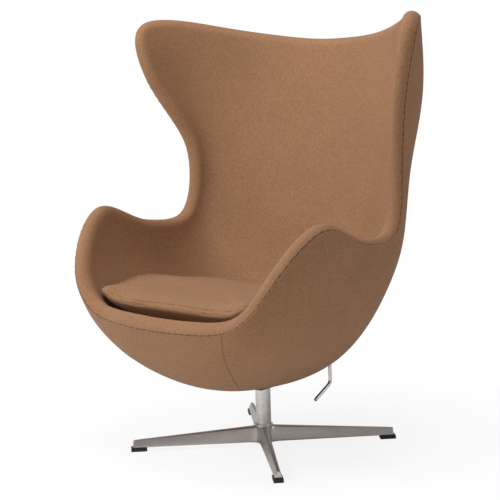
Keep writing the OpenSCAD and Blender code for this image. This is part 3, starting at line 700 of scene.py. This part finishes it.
def line_opening(bm, edges):
    """Turns the felt up round an opening, first a little and then as far as the moulded shell."""
    for lift, least in ((0.002, 0.0), (0.024, SEAT_Z + 0.0005)):
        edges, fresh = drawn_out(bm, edges)
        for v in fresh:
            v.co.z = max(least, v.co.z + lift)


def outer_felts():
    """The outer cover and the front panel under the seat lip, with their sewn edges turned in."""
    whole = outer_skin()
    made = []
    for name, front in (("outer_felt", False), ("front_panel_felt", True)):
        bm = whole.copy()
        keep_ways(bm, front)
        cut_opening(bm, RECESS)
        if not front:
            cut_opening(bm, LEVER_SLOT)
        border = [e for e in bm.edges if e.is_boundary]
        hole = [e for e in border if near_opening(e)]
        turn_in(bm, [e for e in border if not near_opening(e)])
        line_opening(bm, hole)
        made.append(finish_mesh(name, bm, levels=1))
    whole.free()
    return made


# Stitching

def on_roll(a, turn, side=0, off=0.0):
    """A point on or just off the rim's roll in direction a, turn counted from the face to the tip."""
    sign = 1 if side == 1 else -1
    return off_face(inside_rim(a, RIM_HALF * (1 - sin(turn))), side, sign * (RIM_HALF + off) * cos(turn))


def along_rim(pitch):
    """Evenly spaced directions round the rim's seam, one for each stitch."""
    angles = [2 * pi * i / 600 for i in range(601)]
    run = lengths_along([on_roll(a, SEAM_TURN) for a in angles])
    return evenly(angles, run, ceil(run[-1] / pitch))


RIM_STITCH_TURNS = (radians(20), radians(28))
RIM_STITCH_LENGTH = 0.0108
RIM_STITCH_SLANT = 0.12


def rim_stitches(pitch, thick):
    """Long stitches sunk in the seam on the rim's side, slanted a little and not quite evenly."""
    ways = along_rim(pitch)
    low, high = (roll_ring(turn, 0, RIM_HALF, ways) for turn in RIM_STITCH_TURNS)
    out = []
    for i, (p, q) in enumerate(zip(low, high)):
        along = (low[(i + 1) % len(low)] - p).normalized()
        across = q - p
        slant = RIM_STITCH_SLANT + 0.12 * sin(i * 2.4) + 0.08 * sin(i * 5.1)
        up = along.cross(across).normalized()
        middle = (p + q) / 2
        if up.dot(middle - shell_point(*inside_rim(ways[i], RIM_HALF), 0)) < 0:
            up = -up
        out.append((middle + along * (0.0012 * sin(i * 3.3)), across.normalized() * slant + along, up,
                    RIM_STITCH_LENGTH + 0.0015 * sin(i * 1.7)))
    return stitch_row("rim_whip_stitches", out, thick)


STITCH_SHARE = 0.72
SEAM_STEPS = 220
SEAM_STEP = 0.0035


def panel_stitches(pitch, thick):
    """Small stitches down the two seams of the front panel and over the rim at the front corners."""
    out = []
    for way, start in ((PANEL_WAY, 0), (pi - PANEL_WAY, BACK_WAYS)):
        core = shell_point(*inside_rim(way, RIM_HALF), 0)
        shares = [1 - SEAM_STEP * i for i in range(SEAM_STEPS)]
        below = [shared(bend_at(drifted(start, t)), t, 0, -RIM_HALF - 0.0002) for t in shares]
        below = [p for p in below if p.y < RECESS[2] + COLUMN_Y - 0.004 or abs(p.x) > RECESS[1] + 0.004]
        line = [on_roll(way, radians(t)) for t in range(18, 0, -2)] + below
        over = [on_roll(way, radians(t), 0, 0.0001) for t in range(26, 91, 4)]
        over += [on_roll(way, radians(t), 1, 0.0001) for t in range(88, 20, -4)]
        for path in (line, over):
            run = 0.0
            for p, q in zip(path, path[1:]):
                run += (q - p).length
                if run >= pitch:
                    run -= pitch
                    out.append((p, q - p, p - core, pitch * STITCH_SHARE))
    return stitch_row("front_panel_stitches", out, thick)


# Seat cushion

def cushion_uv(r, a):
    """The place on the shell at a share r of the way out in direction a, and how far back it lies."""
    k = r * soft_power(a, 2 + (CUSHION_FRONT_POWER if sin(a) < 0 else CUSHION_BACK_POWER) * r * r)
    s = k * sin(a)
    flare = 1 + (CUSHION_FLARE * s * s if s < 0 else 0)
    return CUSHION_U * k * cos(a) * flare, CUSHION_V + CUSHION_DV * s, s


def cushion_low(r, a):
    """The underside, which follows the seat and lifts off it towards the middle of the front edge."""
    u, v, s = cushion_uv(r, a)
    front = max(0.0, -s - CUSHION_LIFT_FROM) / (1 - CUSHION_LIFT_FROM)
    w = max(0.0, 1 - (u / CUSHION_U) ** 2)
    lift = CUSHION_LIFT * front * front * w + CUSHION_TUCK * r ** 10
    return off_face((u, v), 1, RIM_HALF + CUSHION_GAP) + Vector((0, 0, lift))


def cushion_high(r, a):
    """The crowned top."""
    p = cushion_low(r, a)
    edge = CUSHION_THIN + (CUSHION_EDGE - CUSHION_THIN) * max(0.0, -sin(a)) ** 2
    side_z = cushion_low(1, a).z + edge
    mid_z = cushion_low(0.0001, 0).z + CUSHION_MID - CUSHION_RISE
    p.z = mid_z * (1 - r * r) + side_z * r * r + CUSHION_RISE * sqrt(max(0.0, 1 - r ** 6))
    return p


CUSHION_WAYS = 144
SEAM_SHARE = 0.965


def cushion_angles():
    """Directions round the cushion, evenly spaced along its edge."""
    fine = [2 * pi * i / 1080 for i in range(1081)]
    return evenly(fine, lengths_along([cushion_low(1, a) for a in fine]), CUSHION_WAYS)


def cushion_form(angles):
    """The cushion's closed cover: crowned top, boxed front edge, underside that follows the seat."""
    top = [0.06, 0.14, 0.24, 0.34, 0.44, 0.54, 0.63, 0.71, 0.78, 0.84, 0.89, 0.93, 0.96, 0.985]
    rings = [[cushion_high(r, a) for a in angles] for r in top]
    edge = [(cushion_high(1, a), cushion_low(1, a)) for a in angles]
    rings += [[h * (1 - t) + l * t for h, l in edge] for t in (0.0, 0.5, 1.0)]
    rings += [[cushion_low(r, a) for a in angles] for r in reversed(top)]
    bm = ring_skin(rings, first=cushion_high(0.0001, 0), last=cushion_low(0.0001, 0))
    bmesh.ops.recalc_face_normals(bm, faces=bm.faces[:])
    return bm


def baked(obj):
    """Puts what the modifiers make into the mesh and takes them off."""
    bpy.context.view_layer.update()
    mesh = bpy.data.meshes.new_from_object(obj.evaluated_get(bpy.context.evaluated_depsgraph_get()))
    obj.modifiers.clear()
    obj.data = mesh


# The cushion's cloth, and how far its underside may swell
CLOTH_VOXEL = 0.0055
CLOTH_FRAMES = 20
CLOTH_PRESSURE = 4.0
UNDER_CAP = 0.0015


def swell(obj, cap):
    """Blows the cover up as cloth round its filling, no further than cap from where it began."""
    remesh = obj.modifiers.new("Remesh", "REMESH")
    remesh.mode, remesh.voxel_size, remesh.use_smooth_shade = "VOXEL", CLOTH_VOXEL, True
    baked(obj)
    start = [v.co.copy() for v in obj.data.vertices]
    down = [v.normal.z < -0.2 for v in obj.data.vertices]
    cloth = obj.modifiers.new("Cloth", "CLOTH")
    s = cloth.settings
    s.quality = 5
    s.mass = 0.3
    s.use_pressure, s.uniform_pressure_force = True, CLOTH_PRESSURE
    s.tension_stiffness = s.compression_stiffness = 12
    s.shear_stiffness, s.bending_stiffness = 8, 0.4
    s.effector_weights.gravity = 0
    cloth.point_cache.frame_start, cloth.point_cache.frame_end = 1, CLOTH_FRAMES
    for f in range(1, CLOTH_FRAMES + 1):
        bpy.context.scene.frame_set(f)
    baked(obj)
    for v, p, low in zip(obj.data.vertices, start, down):
        d = v.co - p
        limit = UNDER_CAP if low else cap
        if d.length > limit:
            d *= limit / d.length
        if low and d.z < 0:
            d.z *= 0.2
        v.co = p + d
    bpy.context.scene.frame_set(1)
    smoothed(obj, 1)
    baked(obj)


def seam_path(obj, angles):
    """The cushion's upper seam, laid on the finished cover, evenly spaced."""
    tree = BVHTree.FromPolygons([v.co for v in obj.data.vertices], [p.vertices for p in obj.data.polygons])
    path = []
    for a in angles:
        p = cushion_high(SEAM_SHARE, a)
        hit, normal, _, _ = tree.find_nearest(p)
        path.append((hit, normal))
    return path


GROOVE_WIDTH = 0.0034


def press_seam(obj, path, depth):
    """Presses a narrow groove into the cover along the seam, with a low swelling beside it."""
    points = []
    for (p, _), (q, _) in zip(path, path[1:] + path[:1]):
        steps = max(1, int((q - p).length / 0.0015))
        points += [p.lerp(q, i / steps) for i in range(steps)]
    tree = KDTree(len(points))
    for i, p in enumerate(points):
        tree.insert(p, i)
    tree.balance()
    normals = [v.normal.copy() for v in obj.data.vertices]
    for v, n in zip(obj.data.vertices, normals):
        d = tree.find(v.co)[2]
        if d < GROOVE_WIDTH:
            v.co -= n * depth * (1 - (d / GROOVE_WIDTH) ** 2)
        elif d < 2.2 * GROOVE_WIDTH:
            v.co += n * depth * 0.25 * sin(pi * (d - GROOVE_WIDTH) / (1.2 * GROOVE_WIDTH))


def cushion_stitches(path, pitch, thick):
    """Small stitches along the cushion's upper seam."""
    out, run = [], 0.0
    for (p, n), (q, _) in zip(path, path[1:] + path[:1]):
        length = (q - p).length
        while run < length:
            out.append((p.lerp(q, run / length) - n * 0.0002, q - p, n, pitch * 0.7))
            run += pitch
        run -= length
    return stitch_row("cushion_stitches", out, thick)


# Base and lever

LEG_LENGTH = 0.33
LEG_TURN = radians(47)
LEG_HALF = 0.013
LEG_NARROWS = 0.004
LEG_FALL = 0.022
LEG_TIP = 0.005
LEG_TIP_ROUND = 0.0015
HUB_H = 0.04
HUB_R = 0.02
FILLET = 0.024
LEG_SECTIONS = [0.0, 0.006, 0.012, 0.0175, 0.021, 0.024, 0.027, 0.031, 0.036, 0.05,
                0.08, 0.12, 0.16, 0.2, 0.24, 0.28, 0.31, 0.325, 0.329, 0.33]
GLIDE_LOW = Vector((LEG_LENGTH - 0.035, -0.012, 0))
GLIDE_HIGH = Vector((LEG_LENGTH + 0.005, 0.012, GLIDE_H))
GLIDE_EDGE = 0.0018
COLUMN = Vector((0, COLUMN_Y, 0))


def leg_turn(k):
    return Matrix.Rotation(LEG_TURN + k * pi / 2, 3, "Z")


def leg_half_width(r, lean):
    """Half the leg's width, drawn in by lean, widening in a round corner to the next leg at the hub."""
    corner = LEG_HALF + FILLET
    bow = FILLET + lean
    if r < corner - bow / sqrt(2):
        return max(r, 0.0005)
    if r < corner:
        return corner - sqrt(bow ** 2 - (corner - r) ** 2)
    return LEG_HALF - LEG_NARROWS * (r - corner) / LEG_LENGTH - lean


def leg_profile(r):
    """Half widths and heights round one section of a leg, whose sides lean in and whose edges are soft."""
    h = HUB_H - LEG_FALL * max(0.0, r - HUB_R) / (LEG_LENGTH - HUB_R)
    pull = LEG_TIP_ROUND * (max(0.0, r - LEG_LENGTH + LEG_TIP) / LEG_TIP) ** 2
    leans = [(0.0014, 0.0), (0.0004, 0.0004), (0.0, 0.0014), (0.0026, h * 0.55),
             (0.0046, h - 0.0045), (0.0054, h - 0.0022), (0.0066, h - 0.0008), (0.0081, h)]
    sides = [(leg_half_width(r, lean), z) for lean, z in leans]
    half = [(sides[0][0] * 0.5, 0.0)] + sides + [(sides[-1][0] * 0.35, h + 0.0002)]
    half = [(max(0.0, y - pull), max(0.0, min(z, h - pull))) for y, z in half]
    return half + [(-y, z) for y, z in reversed(half)]


def star_casting():
    """Four tapered legs cast in one piece, with soft edges and round corners at the hub."""
    bm = bmesh.new()
    for k in range(4):
        closed_tube(bm, [[leg_turn(k) @ Vector((r, y, GLIDE_H + z)) + COLUMN for y, z in leg_profile(r)]
                         for r in LEG_SECTIONS])
    bmesh.ops.recalc_face_normals(bm, faces=bm.faces[:])
    return finish_mesh("star_base_casting", bm, levels=1)


def glide_pad(name, turn):
    """A glide with rounded edges under a leg's end."""
    bm = bmesh.new()
    bmesh.ops.create_cube(bm, size=1)
    for v in bm.verts:
        v.co = GLIDE_LOW + Vector([(c + 0.5) * length for c, length in zip(v.co, GLIDE_HIGH - GLIDE_LOW)])
    bmesh.ops.bevel(bm, geom=bm.edges[:], offset=GLIDE_EDGE, offset_type="OFFSET", segments=4, profile=0.5,
                    affect="EDGES", material=-1)
    for v in bm.verts:
        v.co = turn @ v.co + COLUMN
    bmesh.ops.recalc_face_normals(bm, faces=bm.faces[:])
    return finish_mesh(name, bm)


def swept_rod(name, path, radius, sides=24, tip=0.0015):
    """A round bar along a path, its ends slightly rounded."""
    rings = []
    x = Vector((1, 0, 0))
    for i, p in enumerate(path):
        t = (path[min(i + 1, len(path) - 1)] - path[max(i - 1, 0)]).normalized()
        x = (x - t * x.dot(t)).normalized() if abs(x.dot(t)) < 0.99 else t.orthogonal().normalized()
        y = t.cross(x)
        near = min((p - path[0]).length, (p - path[-1]).length)
        r = radius if near >= tip else radius - tip + sqrt(max(0.0, tip * tip - (tip - near) ** 2))
        ways = [2 * pi * k / sides for k in range(sides)]
        rings.append([p + x * r * cos(a) + y * r * sin(a) for a in ways])
    bm = bmesh.new()
    closed_tube(bm, rings)
    bmesh.ops.recalc_face_normals(bm, faces=bm.faces[:])
    return finish_mesh(name, bm)


def lever_path():
    """From the bracket out through the slot, round one bend down and round another to the hand end."""
    out_x, y, top, drop, bend = 0.13, 0.108 + COLUMN_Y, 0.222, 0.072, 0.014
    slope, hand = radians(28), 0.06
    low = top - drop + bend
    path = [Vector((0.014 + d, y, top)) for d in (0.0, 0.0005, 0.0015, 0.004, 0.03, 0.06, 0.09)]
    path += [Vector((out_x - bend + bend * sin(a), y, top - bend + bend * cos(a)))
             for a in [radians(9 * i) for i in range(11)]]
    turned = pi / 2 - slope
    path += [Vector((out_x, y - bend + bend * cos(a), low - bend * sin(a)))
             for a in [turned * i / 8 for i in range(9)]]
    last = path[-1]
    way = Vector((0, -cos(slope), -sin(slope)))
    path += [last + way * d for d in (0.02, 0.04, hand - 0.004, hand - 0.0015, hand - 0.0005, hand)]
    return path


SPRING_TURNS = 5
SPRING_FOOT = Vector((0, 0.05 + COLUMN_Y, 0.167))
SPRING_RADIUS = 0.012
SPRING_WIRE = 0.00175
SPRING_RISE = 0.0343


def spring_path():
    """The tilt spring's wire, from the housing's floor up to the seat plate."""
    steps = 20 * SPRING_TURNS
    path = []
    for i in range(steps + 1):
        a = 2 * pi * SPRING_TURNS * i / steps
        z = SPRING_WIRE + 0.0001 + SPRING_RISE * i / steps
        path.append(SPRING_FOOT + Vector((SPRING_RADIUS * cos(a), SPRING_RADIUS * sin(a), z)))
    return path


# Settings, operators and panel

class ChairLooks(bpy.types.PropertyGroup):
    """Colours of the chair."""
    felt: FloatVectorProperty(name="Felt", description="Main yarn colour of the felt", subtype="COLOR",
                              default=(0.31, 0.164, 0.086), min=0, max=1)
    felt_second: FloatVectorProperty(name="Second yarn", description="Second yarn colour of the felt",
                                     subtype="COLOR", default=(0.245, 0.127, 0.065), min=0, max=1)
    thread: FloatVectorProperty(name="Thread", description="Colour of the sewing thread", subtype="COLOR",
                                default=(0.085, 0.042, 0.024), min=0, max=1)
    aluminium: FloatVectorProperty(name="Base", description="Colour of the cast base", subtype="COLOR",
                                   default=(0.62, 0.57, 0.535), min=0, max=1)
    steel: FloatVectorProperty(name="Steel", description="Colour of column and lever", subtype="COLOR",
                               default=(0.62, 0.6, 0.58), min=0, max=1)


class ChairSizes(bpy.types.PropertyGroup):
    """Sizes of the sewing and the cushion."""
    rim_pitch: FloatProperty(name="Rim stitch pitch", default=0.02, min=0.01, max=0.025, unit="LENGTH",
                             description="Distance between two stitches of the rim seam")
    rim_thread: FloatProperty(name="Rim thread", description="Thickness of the rim seam's thread",
                              default=0.0027, min=0.001, max=0.004, unit="LENGTH")
    seam_pitch: FloatProperty(name="Seam stitch pitch", description="Distance between two small stitches",
                              default=0.0045, min=0.003, max=0.008, unit="LENGTH")
    seam_thread: FloatProperty(name="Seam thread", description="Thickness of the small stitches' thread",
                               default=0.0008, min=0.0005, max=0.002, unit="LENGTH")
    groove: FloatProperty(name="Cushion seam depth", description="How deep the cushion's seam is pulled in",
                          default=0.0024, min=0, max=0.004, unit="LENGTH")
    swelling: FloatProperty(name="Cushion swelling", description="Furthest the cushion's cover may swell",
                            default=0.004, min=0, max=0.02, unit="LENGTH")


class CHAIR_OT_covers(bpy.types.Operator):
    """Felt over the shell: seat side, outer side and front panel"""
    bl_idname = "chair.covers"
    bl_label = "Shell covers"

    def execute(self, context):
        inner = seat_side_felt()
        dress(inner, "seat_shell", "felt", "inner_cover", "inner_padding")
        outer, front = outer_felts()
        dress(outer, "seat_shell", "felt", "outer_cover", "outer_padding")
        dress(front, "seat_shell", "felt", "front_panel")
        return {"FINISHED"}


class CHAIR_OT_stitching(bpy.types.Operator):
    """Whip stitches of the rim seam and small stitches of the front panel"""
    bl_idname = "chair.stitching"
    bl_label = "Shell stitching"

    def execute(self, context):
        sizes = context.scene.chair_sizes
        dress(rim_stitches(sizes.rim_pitch, sizes.rim_thread), "seat_shell", "thread", "rim_stitching")
        dress(panel_stitches(sizes.seam_pitch, sizes.seam_thread), "seat_shell", "thread")
        return {"FINISHED"}


class CHAIR_OT_cushion(bpy.types.Operator):
    """Loose seat cushion with its seam and stitches"""
    bl_idname = "chair.cushion"
    bl_label = "Seat cushion"

    def execute(self, context):
        sizes = context.scene.chair_sizes
        angles = cushion_angles()
        cushion = finish_mesh("seat_cushion_felt", cushion_form(angles))
        swell(cushion, sizes.swelling)
        path = seam_path(cushion, angles)
        press_seam(cushion, path, sizes.groove)
        cushion.data.polygons.foreach_set("use_smooth", [True] * len(cushion.data.polygons))
        dress(cushion, "seat_cushion", "felt", "cushion_top_cover", "cushion_under_cover", "cushion_foam")
        path = seam_path(cushion, angles)
        stitches = cushion_stitches(path, sizes.seam_pitch, sizes.seam_thread)
        dress(stitches, "seat_cushion", "thread", "cushion_stitching")
        return {"FINISHED"}


class CHAIR_OT_base(bpy.types.Operator):
    """Star base and its four glides"""
    bl_idname = "chair.base"
    bl_label = "Star base"

    def execute(self, context):
        dress(star_casting(), "base", "base_metal", "star_base")
        names = ("glide_back_right", "glide_back_left", "glide_front_left", "glide_front_right")
        for k, name in enumerate(names):
            dress(glide_pad(name + "_pad", leg_turn(k)), "base", "glide_plastic", name)
        return {"FINISHED"}


class CHAIR_OT_lever(bpy.types.Operator):
    """Bent tilt lever, and the tilt spring's coil"""
    bl_idname = "chair.lever"
    bl_label = "Tilt lever and spring"

    def execute(self, context):
        dress(swept_rod("tilt_lever_bar", lever_path(), 0.0045), "tilt_lever", "tube_metal", "lever_rod")
        spring = swept_rod("tilt_spring_coil", spring_path(), SPRING_WIRE, sides=10, tip=0.0004)
        dress(spring, "swivel_unit", "spring_steel", "tilt_spring")
        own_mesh(spring)
        return {"FINISHED"}


class CHAIR_OT_finishes(bpy.types.Operator):
    """Materials of the construction pieces that are shown as they are"""
    bl_idname = "chair.finishes"
    bl_label = "Metal finishes"

    def execute(self, context):
        for part in frame["record"]["subparts"]:
            obj = frame["nodes"][part["node"]]
            material = finish_for(part["material_slot"])
            if not obj.data.materials:
                obj.data.materials.append(material)
            for slot in obj.material_slots:
                slot.material = material
        return {"FINISHED"}


# Name, place, aim, width and power of each light, the light from all round, and how the floor
# fades into the background: two distances from the middle and the share of white at each
LIGHTS = (
    ("Key light", (-1.6, -2.6, 2.6), (0, 0, 0.5), 1.5, 88),
    ("Top light", (0.3, -0.6, 3.0), (0, 0, 0.4), 1.6, 36),
    ("Side light", (2.6, 1.4, 1.0), (0, 0, 0.6), 1.0, 7),
)
ROUND_LIGHT = 0.35
FLOOR_RADIUS = 6
FLOOR_FADE = (0.25, 0.9, 0.86, 1.0)


def area_light(name, place, aim, size, power):
    data = bpy.data.lights.new(name, "AREA")
    data.shape, data.size, data.energy = "DISK", size, power
    light = bpy.data.objects.new(name, data)
    light.location = place
    light.rotation_euler = (Vector(aim) - Vector(place)).to_track_quat("-Z", "Y").to_euler()
    bpy.context.scene.collection.objects.link(light)


def studio_floor():
    """A pale floor that keeps the chair's shadow and fades into the white background."""
    bm = bmesh.new()
    bmesh.ops.create_circle(bm, cap_ends=True, segments=96, radius=FLOOR_RADIUS)
    floor = finish_mesh("studio_floor", bm, smooth=False)
    p = Paint("White floor")
    x = p.node("ShaderNodeSeparateXYZ", {}, {0: p.place})
    y = Value(p, x.socket.node.outputs[1])
    far = p.ramp((x * x + y * y) ** 0.5, *FLOOR_FADE)
    seen = p.node("ShaderNodeLightPath", output="Is Camera Ray")
    plain = p.node("ShaderNodeBsdfDiffuse", {}, {"Color": (0.96, 0.96, 0.96, 1)})
    bright = p.node("ShaderNodeEmission", {}, {"Color": (1, 1, 1, 1), "Strength": 1.0})
    mixed = p.node("ShaderNodeMixShader", {}, {0: far * seen, 1: plain, 2: bright})
    p.tree.links.new(mixed.socket, p.tree.nodes.new("ShaderNodeOutputMaterial").inputs["Surface"])
    floor.data.materials.append(p.material)
    return floor


def studio_world():
    """White behind the chair for the camera, and a dimmer white light on the chair."""
    world = bpy.data.worlds.new("Studio")
    bpy.context.scene.world = world
    world.use_nodes = True
    tree = world.node_tree
    tree.nodes.clear()
    seen = tree.nodes.new("ShaderNodeLightPath").outputs["Is Camera Ray"]
    mix = tree.nodes.new("ShaderNodeMixShader")
    tree.links.new(seen, mix.inputs[0])
    for socket, strength in ((1, ROUND_LIGHT), (2, 1.0)):
        white = tree.nodes.new("ShaderNodeBackground")
        white.inputs["Color"].default_value = (1, 1, 1, 1)
        white.inputs["Strength"].default_value = strength
        tree.links.new(white.outputs[0], mix.inputs[socket])
    tree.links.new(mix.outputs[0], tree.nodes.new("ShaderNodeOutputWorld").inputs["Surface"])


def photo_camera():
    data = bpy.data.cameras.new("Camera")
    data.lens, data.sensor_width = 108, 36
    data.clip_start, data.clip_end = 0.05, 60
    camera = bpy.data.objects.new("Camera", data)
    camera.location = (2.443, -2.7212, 1.032)
    about, down, roll = radians(42), radians(8.29), radians(-1.58)
    turn = Matrix.Rotation(about, 4, "Z") @ Matrix.Rotation(pi / 2 - down, 4, "X")
    camera.rotation_euler = (turn @ Matrix.Rotation(roll, 4, "Z")).to_euler()
    bpy.context.scene.collection.objects.link(camera)
    bpy.context.scene.camera = camera


class CHAIR_OT_stage(bpy.types.Operator):
    """Floor, lights, background and camera"""
    bl_idname = "chair.stage"
    bl_label = "Studio"

    def execute(self, context):
        studio_floor()
        studio_world()
        for light in LIGHTS:
            area_light(*light)
        photo_camera()
        context.scene.view_settings.view_transform = "Standard"
        return {"FINISHED"}


STEPS = (CHAIR_OT_covers, CHAIR_OT_stitching, CHAIR_OT_cushion, CHAIR_OT_base, CHAIR_OT_lever,
         CHAIR_OT_finishes, CHAIR_OT_stage)


class CHAIR_PT_panel(bpy.types.Panel):
    """Lists the chair's settings and the steps that build it"""
    bl_idname = "CHAIR_PT_panel"
    bl_label = "Egg Lounge Chair"
    bl_space_type = "VIEW_3D"
    bl_region_type = "UI"
    bl_category = "Chair"

    def draw(self, context):
        for group in (context.scene.chair_looks, context.scene.chair_sizes):
            box = self.layout.box()
            for name in group.__annotations__:
                box.prop(group, name)
        for step in STEPS:
            self.layout.operator(step.bl_idname)


CLASSES = (ChairLooks, ChairSizes) + STEPS + (CHAIR_PT_panel,)


def register():
    for c in CLASSES:
        bpy.utils.register_class(c)
    bpy.types.Scene.chair_looks = PointerProperty(type=ChairLooks)
    bpy.types.Scene.chair_sizes = PointerProperty(type=ChairSizes)


def unregister():
    del bpy.types.Scene.chair_looks
    del bpy.types.Scene.chair_sizes
    for c in reversed(CLASSES):
        bpy.utils.unregister_class(c)


def main():
    register()
    bpy.ops.chair.covers()
    bpy.ops.chair.stitching()
    bpy.ops.chair.cushion()
    bpy.ops.chair.base()
    bpy.ops.chair.lever()
    bpy.ops.chair.finishes()
    bpy.ops.chair.stage()


if __name__ == "__main__":
    main()
